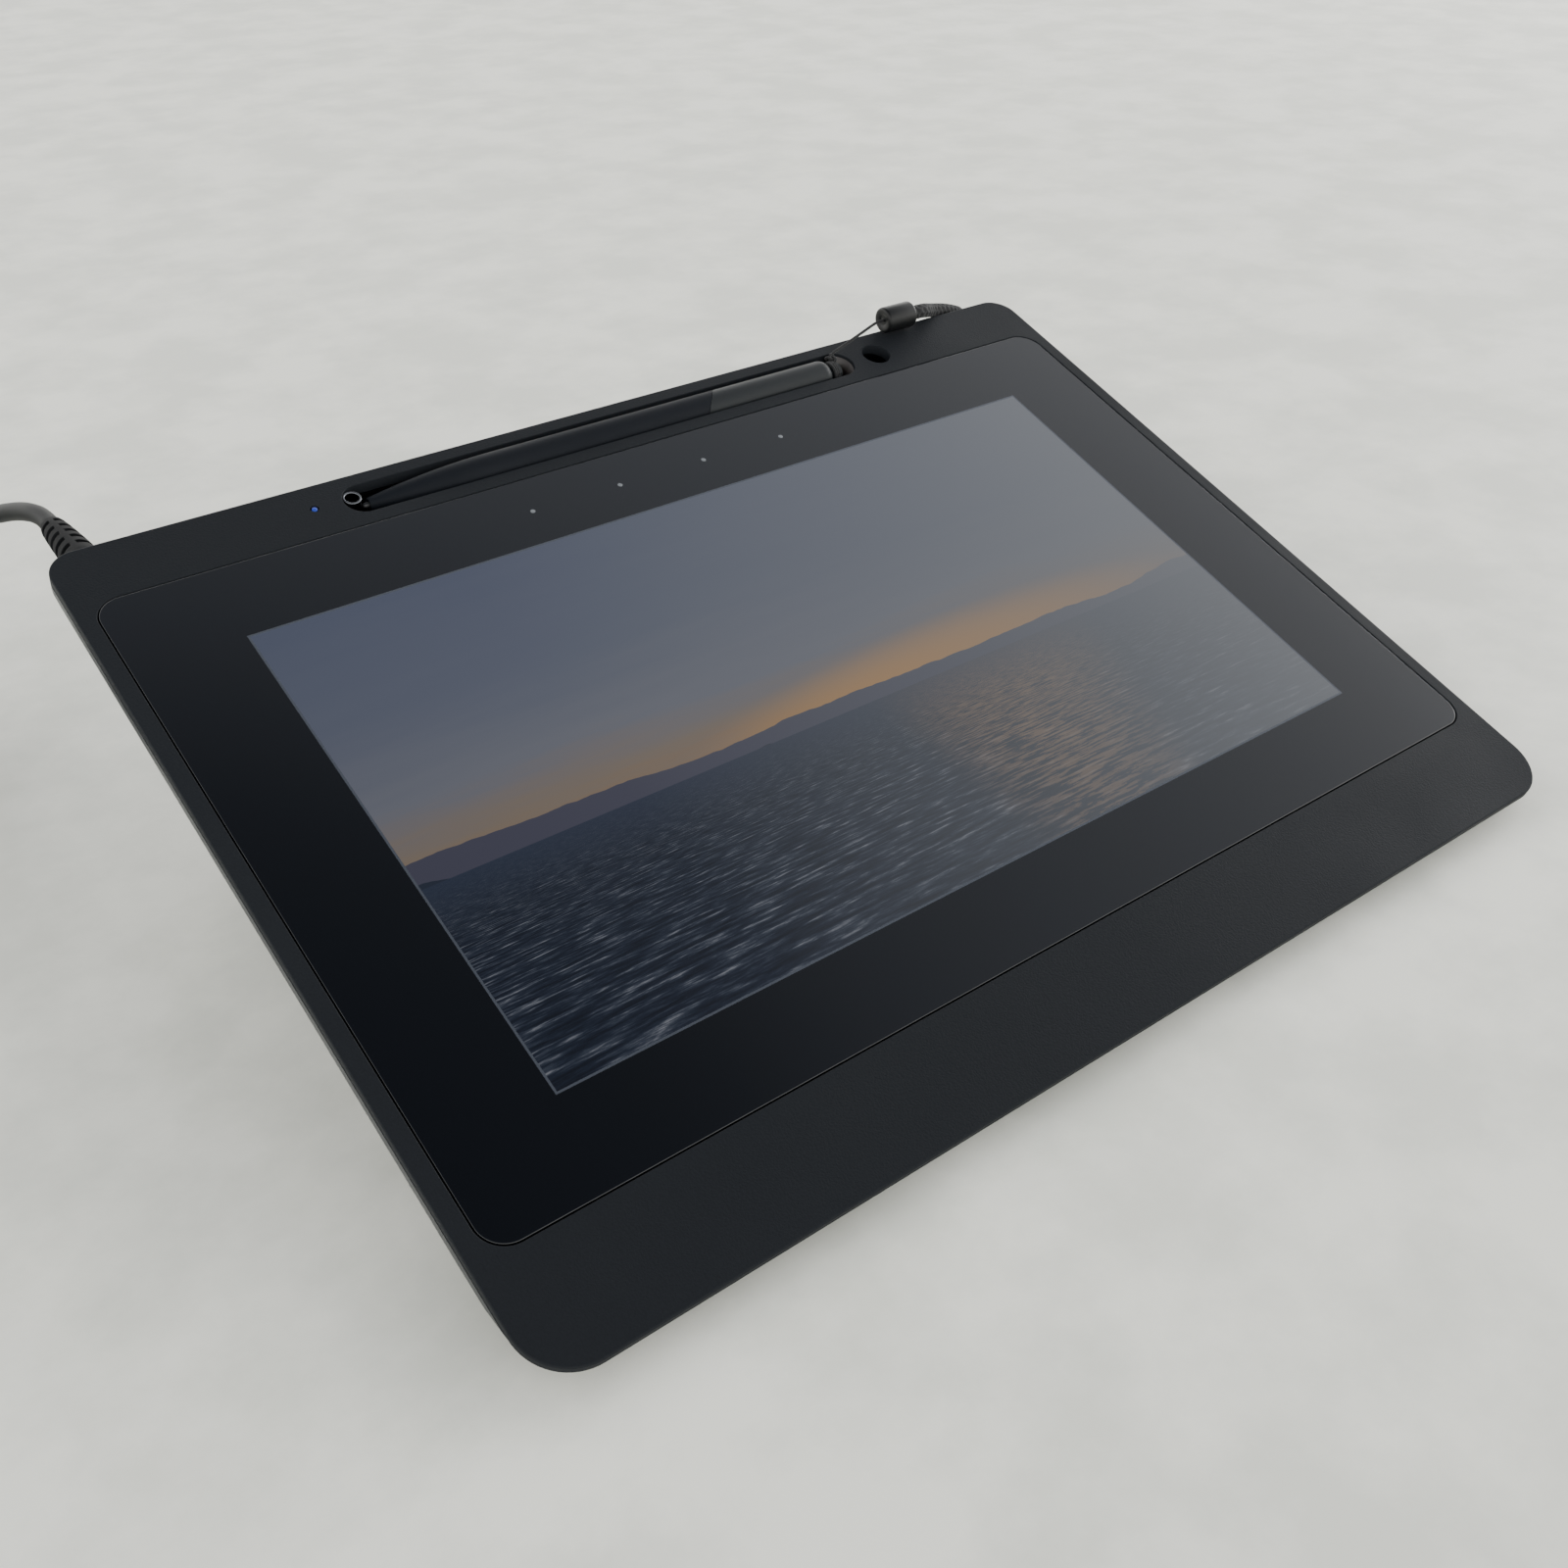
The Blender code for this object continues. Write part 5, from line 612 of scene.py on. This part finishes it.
border = blended(tree, line, colour("05070c"), colour("3a3e46"))
put(tree, shader, {
    "Base Color": border, "Emission Color": picture, "Emission Strength": 0.72,
    "Roughness": 0.14, "IOR": 1.5})
print("nodes in the glass material:", len(tree.nodes))

# %% [markdown]
# ## Metals, boards and small finishes
# The metals keep the default index of refraction and are told apart by colour, roughness and
# how they were worked. Circuit board is glass fibre under green resist, with copper tracks
# that show as slightly lighter lines.

# %% Worked metals
def worked_metal(name, shade, roughness, grain, stretch):
    """Noise drawn out along X by the stretch shifts the roughness, as rolling or turning does."""
    finish, tree, shader = new_finish(name)
    drawn = add(tree, "ShaderNodeMapping", {
        "Vector": own_place(tree), "Scale": (1 / stretch, 1, 1)}).outputs[0]
    rough = add(tree, "ShaderNodeMapRange", {
        "Value": noise(tree, drawn, 1 / grain, 3.0),
        "To Min": roughness * 0.7, "To Max": roughness * 1.3}).outputs["Result"]
    put(tree, shader, {"Base Color": colour(shade), "Metallic": 1.0, "Roughness": rough})
    return finish


# Each row gives a name, a colour, the roughness, the lines' width and how far they stretch.
METALS = {
    "shield_steel": ("tinned_steel_sheet", "c8cacc", 0.34, 0.0006, 6),
    "chassis_aluminium": ("pressed_aluminium", "cfd1d4", 0.38, 0.0006, 8),
    "polished_steel": ("dark_polished_steel", "626468", 0.16, 0.0010, 1),
    "pin_steel": ("turned_pin_steel", "b4b6b8", 0.28, 0.0003, 4),
}
finishes.update((slot, worked_metal(*row)) for slot, row in METALS.items())

# %% Circuit board and power light
finishes["circuit_board"], tree, shader = new_finish("green_solder_resist")
tracks = add(tree, "ShaderNodeTexBrick", {
    "Vector": own_place(tree), "Color1": colour("1c5a38"), "Color2": colour("174d30"),
    "Mortar": colour("2d7a4e"), "Scale": 260.0, "Mortar Size": 0.03}).outputs["Color"]
put(tree, shader, {"Base Color": tracks, "Roughness": 0.32})

finishes["light_pipe"], tree, shader = new_finish("lit_light_pipe")
spread = add(tree, "ShaderNodeLayerWeight", {"Blend": 0.4}).outputs["Facing"]
glow = blended(tree, spread, colour("3a58c8"), colour("16267c"))
put(tree, shader, {
    "Base Color": colour("1a2f86"), "Emission Color": glow, "Emission Strength": 0.28, "Roughness": 0.2})
print("small finishes made")

# %% [markdown]
# ## Braided cord
# The tether is a cord of fine black yarns, braided in two directions. Real geometry carries
# the braid: the radius swells where a yarn passes over and sinks where it passes under. The
# material adds the yarns' own fibres and a soft sheen, because loose fibres catch light.

# %% Braid finish
finishes["tether_braid"], tree, shader = new_finish("black_braided_yarn")
surface = add(tree, "ShaderNodeUVMap", uv_map="surface").outputs[0]
fibre_way = add(tree, "ShaderNodeMapping", {"Vector": surface, "Scale": (60.0, 1.2, 1.0)}).outputs[0]
fibres = noise(tree, fibre_way, 3.0, 4.0)
hair = add(tree, "ShaderNodeBump", {"Height": fibres, "Strength": 0.5, "Distance": 0.0001}).outputs[0]
put(tree, shader, {
    "Base Color": ramp(tree, fibres, (0.35, "060607"), (0.65, "18191b")), "Normal": hair,
    "Roughness": 0.85, "Sheen Weight": 0.08, "Sheen Roughness": 0.4})
print("braid made")

# %% [markdown]
# ## Every CAD node gets its material
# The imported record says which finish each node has, so the loop reads it there. Nodes that
# are made again further down get one too, because they stay in the frame. Only the rear cover
# differs from the record: its plastic is the bezel's, with a finer and glossier grain.

# %% Materials on the frame
for part in frame["record"]["subparts"]:
    node = nodes[part["node"]]
    node.data.materials.clear()
    node.data.materials.append(finishes[part["material_slot"]])
nodes["rear_cover"].data.materials[0] = finishes["rear_plastic"]
print("finishes:", len(finishes))

# %% [markdown]
# ## Front bezel
# The bezel is the moulded plate round the glass. From above it is an outline with four
# holes: the glass's opening, the pen's groove, the stand hole and the power light's hole.
# Every edge gets its own small round, because a real moulding has no sharp edge and that
# thin round is what catches the light along the slab's side.

# %% The bezel's outlines
HALF_WIDTH, FRONT_REACH, BACK_REACH = 0.1410, 0.1081, 0.1022
FRONT_CORNER, BACK_CORNER = 0.0115, 0.0070
GLASS_HALF, GLASS_FRONT, GLASS_BACK, GLASS_CORNER = 0.1368, -0.0838, 0.0849, 0.0060
GLASS_GAP, GLASS_DEPTH, SEAT_WIDTH, SEAT_DEPTH = 0.0003, 0.0011, 0.0030, 0.00135
PEN_LINE, PEN_SINK, PEN_RADIUS = 0.0937, 0.0027, 0.0043
GROOVE_LEFT, GROOVE_RIGHT, GROOVE_HALF = -0.0747, 0.0770, 0.0048
STAND_X, STAND_RADIUS = 0.0860, 0.0041
LIGHT_X, LIGHT_Y, LIGHT_HOLE, LIGHT_RADIUS = -0.0817, 0.0945, 0.00105, 0.00065
EDGE, FINE_EDGE, LIGHT_EDGE = 0.0004, 0.0002, 0.0001
# The outer wall ends at the lip, and a block set in from the sides and the front goes on below.
LIP, BLOCK, BLOCK_SIDE, BLOCK_FRONT = 0.0020, 0.0030, 0.0030, 0.0115


def slab_outline(inset, front_inset):
    """The slab's outline, drawn in by one amount at the front and another at the other sides."""
    return rounded(
        -HALF_WIDTH + inset, HALF_WIDTH - inset, -FRONT_REACH + front_inset, BACK_REACH - inset,
        FRONT_CORNER - inset, BACK_CORNER - inset)


def glass_outline(inset):
    """The glass's outline, drawn in or let out."""
    return rounded(
        -GLASS_HALF + inset, GLASS_HALF - inset, GLASS_FRONT + inset, GLASS_BACK - inset,
        GLASS_CORNER - inset, GLASS_CORNER - inset)


def slot_outline(grow):
    """The pen groove's slot, a strip with round ends."""
    half = GROOVE_HALF + grow
    return rounded(GROOVE_LEFT - grow, GROOVE_RIGHT + grow, PEN_LINE - half, PEN_LINE + half, half, half)


def round_hole(x, y, radius):
    """The outline of a round hole, as a function of how far it is let out."""
    def outline(grow):
        whole = radius + grow
        return rounded(x - whole, x + whole, y - whole, y + whole, whole, whole, 10)
    return outline


def hole_wall(outline, edge, steps):
    """A hole's wall: its edge flares out in a quarter round, then it goes straight down."""
    return [(outline(inset), -drop) for inset, drop in quarter(edge, steps)] + [(outline(0), -BLOCK)]


# %% The bezel's surfaces
side_wall = [(slab_outline(inset, inset), -drop) for inset, drop in quarter(EDGE)]
side_wall += [(slab_outline(0, 0), -LIP + FINE_EDGE), (slab_outline(FINE_EDGE, FINE_EDGE), -LIP)]
side_wall += [(slab_outline(BLOCK_SIDE, BLOCK_FRONT), -depth) for depth in (LIP, BLOCK)]
glass_seat = [(glass_outline(-GLASS_GAP - inset), -drop) for inset, drop in quarter(FINE_EDGE, 3)]
glass_seat += [
    (glass_outline(-GLASS_GAP), -SEAT_DEPTH), (glass_outline(SEAT_WIDTH), -SEAT_DEPTH),
    (glass_outline(SEAT_WIDTH), -BLOCK)]
rims = [
    side_wall, glass_seat, hole_wall(slot_outline, FINE_EDGE, 3),
    hole_wall(round_hole(STAND_X, PEN_LINE, STAND_RADIUS), FINE_EDGE, 3),
    hole_wall(round_hole(LIGHT_X, LIGHT_Y, LIGHT_HOLE), LIGHT_EDGE, 2)]
bezel = make_piece(
    "moulded_bezel", [levels(rings) for rings in rims], "display_body", "matt_black_plastic", flats=[
        flat_between([rings[0][0] for rings in rims], 0.0),
        flat_between([rings[-1][0] for rings in rims], -BLOCK),
    ])
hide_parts("front_bezel")

# %% [markdown]
# ## Cover glass and touch marks
# The glass is a flat sheet with ground and polished edges, printed black from behind. It lies
# flush in the bezel with a gap of a third of a millimetre. Its surface coordinates come from
# its finished points, measured in widths and heights of the picture, so the picture lands on
# its middle. The four touch marks are dots of pale ink, made as very low domes, so that they
# stay crisp at any size.

# %% The glass sheet
glass_rings = [(glass_outline(inset), -drop) for inset, drop in quarter(FINE_EDGE, 3)]
glass_rings.append((glass_outline(0), -GLASS_DEPTH))
glass = make_piece(
    "cover_glass_sheet", [levels(glass_rings)], "display_body", "black_cover_glass",
    flats=[flat_between([glass_rings[0][0]], 0.0), flat_between([glass_rings[-1][0]], -GLASS_DEPTH)])
place = np.empty(len(glass.data.vertices) * 3)
glass.data.vertices.foreach_get("co", place)
x, y, z = place.reshape(-1, 3).T
slope = (y - SLAB_SHIFT) * math.cos(TILT) + (z - SLAB_HEIGHT) * math.sin(TILT)
mark_surface(glass.data, np.column_stack((x / PICTURE[0], slope / PICTURE[1])) + 0.5)
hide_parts("cover_glass")

# %% The touch marks
finishes["ink"], tree, shader = new_finish("pale_grey_ink")
specks = ramp(tree, noise(tree, own_place(tree), 4000.0), (0.3, "585c60"), (0.7, "6c7074"))
put(tree, shader, {"Base Color": specks, "Roughness": 0.5})
SLAB_OUT = on_slab((0, 0, 1)) - on_slab((0, 0, 0))
MARK_RADIUS, MARK_RISE, MARK_SINK, MARK_LINE = 0.00062, 0.00003, 0.00002, 0.0739
angle = np.linspace(0, math.pi / 2, 5)
dome = np.vstack((
    np.column_stack((MARK_RADIUS * np.sin(angle), MARK_RISE * np.cos(angle))),
    (MARK_RADIUS, -MARK_SINK), (0, -MARK_SINK)))
mark_places = [on_slab((x, MARK_LINE, MARK_SINK)) for x in (-0.0362, -0.0116, 0.0134, 0.0379)]
make_piece(
    "touch_marks", [turned(dome, place, SLAB_OUT, 24) for place in mark_places],
    "display_body", "black_cover_glass", "ink")

# %% [markdown]
# ## Pen
# The pen is a turned shape: a profile of (radius, reach) rows spun about its length. The joint
# between the soft grip and the smooth tail cap runs at a slant, so the points near it are
# moved along the pen in step with how far they lie to one side. The grip's front narrows as
# r(1 - (1 - s)^2), a parabola that meets the straight part without a corner, and the cap's
# end is a quarter round drawn out along the pen.

# %% The pen's barrel, cap and nib
ALONG = (1, 0, 0)
SLANT, SLANT_BAND = 0.80, 0.0006
GRIP_TIP, GRIP_END, TAPER, CAP_START, CAP_END = -0.0687, 0.0293, 0.0337, 0.0294, 0.0688
BORE, TIP_RADIUS, NECK_RADIUS, CAP_ROUND, CAP_DRAWN = 0.0012, 0.0016, 0.0029, 0.0020, 1.4
pen_place = on_slab((0, PEN_LINE, -PEN_SINK))
SIDEWAYS = on_slab((0, 1, 0)) - on_slab((0, 0, 0))


def slanted(sheet, at):
    """Points at that reach move along the pen by the slant times their place sideways."""
    near = np.exp(-((sheet[..., 0] - at) / SLANT_BAND) ** 2)
    sheet[..., 0] += near * SLANT * ((sheet - pen_place) @ SIDEWAYS)
    return sheet


share = np.linspace(0, 1, 24)
taper = np.column_stack((
    TIP_RADIUS + (PEN_RADIUS - TIP_RADIUS) * (1 - (1 - share) ** 2), GRIP_TIP + TAPER * share))
barrel_profile = np.vstack((
    (BORE, -0.0484), (BORE, -0.0685), (0.0013, GRIP_TIP), taper[:1] - (0.0001, 0), taper,
    (PEN_RADIUS, 0.0290), (PEN_RADIUS, 0.02925), (PEN_RADIUS - 0.00005, GRIP_END),
    (NECK_RADIUS, GRIP_END), (NECK_RADIUS, -0.0484), (BORE, -0.0484)))
barrel = make_piece(
    "pen_grip_barrel", [slanted(turned(barrel_profile, pen_place, ALONG), GRIP_END)],
    "pen", "pen_grip_plastic")
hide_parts("pen_barrel")
round_end = quarter(CAP_ROUND, 8)[::-1] * (1, CAP_DRAWN)
cap_profile = np.vstack((
    (0, 0.0210), (0.0026, 0.0210), (0.0026, CAP_START), (PEN_RADIUS - 0.00005, CAP_START),
    (PEN_RADIUS, 0.02945), (PEN_RADIUS, 0.0300), (PEN_RADIUS, CAP_END) - round_end,
    (0.0023, CAP_END), (0.0023, 0.0719), (0.0028, 0.0719), (0.0028, 0.0725), (0, 0.0725)))
cap = make_piece(
    "pen_tail_cover", [slanted(turned(cap_profile, pen_place, ALONG), CAP_START)],
    "pen", "pen_cap_plastic")
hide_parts("pen_tail_cap")
NIB_TIP, NIB_RADIUS = -0.0702, 0.0008
tip = np.linspace(0, math.pi / 2, 5)
nib_profile = np.vstack((
    np.column_stack((0.0007 * np.sin(tip), NIB_TIP + 0.0006 * (1 - np.cos(tip)))),
    (NIB_RADIUS, -0.0690), (NIB_RADIUS, -0.0490), (0, -0.0490)))
nib = make_piece("pressure_nib", [turned(nib_profile, pen_place, ALONG, 24)], "nib", "nib_plastic")
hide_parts("pen_nib")

# %% [markdown]
# ## Collar, ledge and power light
# A small polished collar stands in the pit at the groove's left end. It is a cup spun about
# the slab's normal, and the light catches its rounded rim. At the right end the groove has a
# sloped ledge round a deeper hole, so that a fingertip can lift the pen. That one is the same
# kind of turned profile, but only over part of a turn, and each end is closed by a fan of
# faces round its middle. The power light is a clear rod with a low dome, lit from inside.

# %% The polished collar
RIM, COLLAR_RADIUS, COLLAR_TOP = 0.00026, 0.00194, -0.00015
COLLAR_PLACE = on_slab((-0.0722, PEN_LINE + 0.0012, 0))
lip = np.linspace(0, math.pi, 9)
collar_profile = np.vstack((
    (0, -0.0080), (0.0008, -0.0080), (0.0008, -0.0072), (0.00220, -0.0072),
    np.column_stack((COLLAR_RADIUS + RIM * np.cos(lip), COLLAR_TOP + RIM * (np.sin(lip) - 1))),
    (0.00168, -0.0060), (0, -0.0060)))
ring = make_piece(
    "polished_nib_ring", [turned(collar_profile, COLLAR_PLACE, SLAB_OUT)],
    "display_body", "polished_steel")
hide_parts("nib_ring")

# %% The finger ledge
ledge_turn = np.radians(np.linspace(-72, 88, 41))[None, :, None]
ledge_profile = np.array((
    (0.00478, -0.00295), (0.00478, -0.0009), (0.00470, -0.0008), (0.00455, -0.0009), (0.00330, -0.0025),
    (0.00322, -0.0027), (0.00322, -0.00545), (0.00456, -0.0032), (0.00478, -0.00295)))
radius, level = ledge_profile[:, 0, None, None], ledge_profile[:, 1, None, None]
ledge = np.concatenate(np.broadcast_arrays(
    GROOVE_RIGHT - GROOVE_HALF + radius * np.cos(ledge_turn),
    PEN_LINE + radius * np.sin(ledge_turn), level), axis=-1)
first, last = (np.broadcast_to(ledge[:, end].mean(axis=0), ledge[:, :1].shape) for end in (0, -1))
# Its finish paints the sheen of light on the slope into a paler colour.
make_piece(
    "finger_ledge", [on_slab(np.concatenate((first, ledge, last), axis=1))],
    "display_body", "tray_plastic", "ledge_wear_and_sheen_plastic")

# %% The power light
LIGHT_DOME, LIGHT_FOOT = 0.0002, -0.0030
angle = np.linspace(0, math.pi / 2, 6)
light_profile = np.vstack((
    np.column_stack((LIGHT_RADIUS * np.sin(angle), LIGHT_DOME * np.cos(angle) - LIGHT_DOME)),
    (LIGHT_RADIUS, LIGHT_FOOT), (0, LIGHT_FOOT)))
power_light = make_piece(
    "power_light", [turned(light_profile, on_slab((LIGHT_X, LIGHT_Y, 0)), SLAB_OUT, 24)],
    "display_body", "light_pipe")
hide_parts("led_light_pipe")

# %% [markdown]
# ## Cable and its strain relief
# The strain relief is a soft tapered sleeve. Slots round its left and right sides let it bend
# a little at a time, and a plain spine runs along its top and its bottom. On the surface the
# slots are places where the radius drops, so one formula cuts them all. The share of the
# depth is the product of two soft steps, 1 / (1 + e^(-d / s)), where d is how far the angle
# lies beyond the spine, or the reach lies inside a slot, and s is the step's softness.

# %% The slotted strain relief
SLOT_FIRST, SLOT_PITCH, SLOT_HALF, SLOT_DEPTH, SLOT_SOFT = 0.0115, 0.0041, 0.00072, 0.62, 0.00004
SPINE_HALF, SPINE_LEAN, SPINE_SOFT = math.radians(14), math.radians(10), 0.02
reach = np.concatenate((np.linspace(0.0007, 0.0285, 280), np.linspace(0.0286, BOOT_LENGTH, 24)))[:, None]
angle = np.linspace(0, 2 * math.pi, 129)[None, :]
outside_radius = np.interp(
    reach, (0.0007, 0.0080, 0.0160, 0.0230, 0.0285, 0.0305, BOOT_LENGTH),
    (0.0042, 0.0042, 0.0039, 0.0035, 0.0031, 0.0028, 0.0024))
from_spine = np.abs((angle - SPINE_LEAN) % math.pi - math.pi / 2)
from_slot = np.abs(((reach - SLOT_FIRST) / SLOT_PITCH + 0.5) % 1 - 0.5) * SLOT_PITCH
slotted = (reach > 0.0100) & (reach < 0.0295)
past_spine = 1 / (1 + np.exp((SPINE_HALF - from_spine) / SPINE_SOFT))
in_slot = 1 / (1 + np.exp((from_slot - SLOT_HALF) / SLOT_SOFT))
boot_radius = outside_radius * (1 - SLOT_DEPTH * past_spine * in_slot * slotted)
sleeve = np.stack((
    np.cos(angle) * boot_radius, np.broadcast_to(reach, boot_radius.shape), np.sin(angle) * boot_radius), -1)
# The first ring leans with the slab's back wall, where the sleeve starts.
sleeve[0, :, 1] -= sleeve[0, :, 2] * math.tan(TILT)
sleeve = np.concatenate((sleeve[:1] * (0, 1, 0), sleeve, sleeve[-1:] * (0, 1, 0)))
neck_profile = (
    (0, -0.0060), (0.0036, -0.0060), (0.0036, -0.0046), (0.0030, -0.0046), (0.0030, 0.0008), (0, 0.0008))
neck = turned(neck_profile, CABLE_GATE, (0, 1, 0), 32)
boot = make_piece(
    "slotted_strain_relief", [sleeve + CABLE_GATE, neck], "display_body", "black_rubber")
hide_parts("cable_boot")

# %% The cable
sheet, mark = tube(cable_route, 0.5 * CABLE_DIAMETER)
cable = make_piece(
    "supply_cable", [sheet], "display_body", "black_rubber", "cable_jacket", marks=[mark])
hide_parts("cable_run", "cable_coil")

# %% [markdown]
# ## Braided tether, bead and string
# The braid is a tube whose radius swells in a lattice of two opposite spirals. A smooth bead
# joins it to a thin string, which is wound and knotted round the pen's tail. The knot follows
# a trefoil: x = sin t + 2 sin 2t, y = cos t - 2 cos 2t and z = -1.3 sin 3t.

# %% The braided tether
YARN, YARNS, SWELL = 0.0021, 4, 0.00024


def braid(turn, walked):
    """Half the diameter, and into it a lattice: the larger of two sine waves that climb to the
    left and to the right, four yarns each way."""
    left = np.sin(YARNS * turn + 2 * math.pi * walked / YARN)
    right = np.sin(YARNS * turn - 2 * math.pi * walked / YARN)
    return 0.5 * TETHER_DIAMETER - SWELL + SWELL * np.maximum(left, right)


sheet, mark = tube(tether_route, braid, 28)
tether = make_piece(
    "braided_tether", [sheet], "display_body", "tether_braid", marks=[mark], sharp=80)
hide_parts("tether_lead", "tether_coil", "tether_cord")

# %% The bead
BEAD_RADIUS, BEAD_EDGE, BEAD_LEFT, BEAD_RIGHT = 0.0036, 0.0008, 0.0934, 0.1036
inset, drop = quarter(BEAD_EDGE).T
bead_profile = np.vstack((
    (0, 0.0938), (0.0012, 0.0938), (0.0016, 0.0935), (0.0028, BEAD_LEFT),
    np.column_stack((BEAD_RADIUS - inset, BEAD_LEFT + drop)),
    np.column_stack((BEAD_RADIUS - inset, BEAD_RIGHT - drop))[::-1],
    (0.0022, BEAD_RIGHT), (0.0021, 0.1032), (0, 0.1032)))
bead = make_piece(
    "tether_end_bead", [turned(bead_profile, on_slab((0, 0.1015, 0.0039)), ALONG, 40)],
    "display_body", "tray_plastic", "bead_plastic")
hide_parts("tether_bead")

# %% The string and its knot
STRING, WRAPS, WRAP_RADIUS, WRAP_START, WRAP_REACH = 0.0008, 3.5, 0.0030, 0.0694, 0.0022
share = np.linspace(0, 1, 120)
angle = 2 * math.pi * WRAPS * (share - 1)
wraps = np.column_stack((
    WRAP_START + WRAP_REACH * share, PEN_LINE + WRAP_RADIUS * np.cos(angle),
    -PEN_SINK + WRAP_RADIUS * np.sin(angle)))
string_points = np.vstack((
    wraps[::5], (0.0718, 0.0969, -0.0015), (0.0724, 0.0974, -0.0003), (0.0737, 0.0979, 0.0006),
    (0.0772, 0.0985, 0.0014), (0.0870, 0.1005, 0.0033), (0.0905, 0.1013, 0.0038),
    (0.0923, 0.1015, 0.0039), (0.0937, 0.1015, 0.0039)))
string_route = smooth_route(on_slab(string_points), 0.0003, 0)
KNOT_SIZE, KNOT_PLACE = 0.00050, (0.0722, 0.0967, -0.0002)
angle = np.linspace(0, 2 * math.pi, 121)
knot = KNOT_PLACE + KNOT_SIZE * np.column_stack((
    np.sin(angle) + 2 * np.sin(2 * angle), np.cos(angle) - 2 * np.cos(2 * angle), -1.3 * np.sin(3 * angle)))
string_sheet, string_mark = tube(string_route, 0.5 * STRING, 10, (0.3, 0.5, 0.8))
knot_sheet, knot_mark = tube(on_slab(knot), 0.5 * STRING, 10, (0.2, 0.3, 0.9))
string = make_piece(
    "tied_string", [string_sheet, knot_sheet], None, None, "tether_braid",
    marks=[string_mark, knot_mark], sharp=80)
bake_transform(string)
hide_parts("tether_string")

# %% [markdown]
# ## Floor and light
# The photograph was taken on a pale table, here a flat square 12 m wide with a cloudy, paper
# white finish. What the glass mirrors tells where the light comes from: nearly black from
# straight overhead, and brighter and brighter towards the horizon. So the sky is a ramp on
# height, dark at the top, and a large soft lamp stands low at the right, where the camera
# doesn't see it in the glass. It throws the soft shadow to the left.

# %% Floor
finishes["table_top"], tree, shader = new_finish("pale_paper")
paper = ramp(tree, noise(tree, own_place(tree), 22.0, 6.0, 0.6), (0.40, "dedfd4"), (0.60, "f0f0e5"))
put(tree, shader, {"Base Color": paper, "Roughness": 0.6})
reach = np.linspace(-6, 6, 25)
along, aside = np.meshgrid(reach, reach)
table = np.stack((along, aside, np.zeros_like(along)), axis=-1)
floor = make_piece("table", [table], None, None, "table_top")
# A flat sheet has no outside, so its faces are turned up here if they look down.
if floor.data.polygons[0].normal.z < 0:
    floor.data.flip_normals()

# %% Light
# Each row of the sky gives the sine of the height above the horizon, the brightness and a tint.
BRIGHTEST = 4.0
SKY_LEVELS = (
    (0.00, 4.00, "fffefa"), (0.50, 2.70, "fdfdfb"), (0.62, 1.25, "f6f8fc"), (0.72, 0.94, "f2f6fd"),
    (0.80, 0.74, "f0f5fe"), (0.87, 0.50, "eef4ff"), (0.92, 0.20, "ecf3ff"), (1.00, 0.08, "ecf3ff"))
world = bpy.data.worlds.new("room")
bpy.context.scene.world = world
world.use_nodes = True
tree = world.node_tree
way = add(tree, "ShaderNodeTexCoord").outputs["Generated"]
height = add(tree, "ShaderNodeSeparateXYZ", {"Vector": way}).outputs["Z"]
glare = ramp(tree, height, *((place, tint, amount / BRIGHTEST) for place, amount, tint in SKY_LEVELS))
put(tree, tree.nodes["Background"], {"Color": glare, "Strength": BRIGHTEST})

WINDOW_PLACE = Vector((2.2, 0.3, 0.75))
lamp = bpy.data.lights.new("window_light", "AREA")
lamp.size = 1.1
lamp.energy = 22.0
window = bpy.data.objects.new("window_light", lamp)
bpy.context.scene.collection.objects.link(window)
window.location = WINDOW_PLACE
window.rotation_euler = (-WINDOW_PLACE).to_track_quat("-Z", "Y").to_euler()
print("lamp and table made")
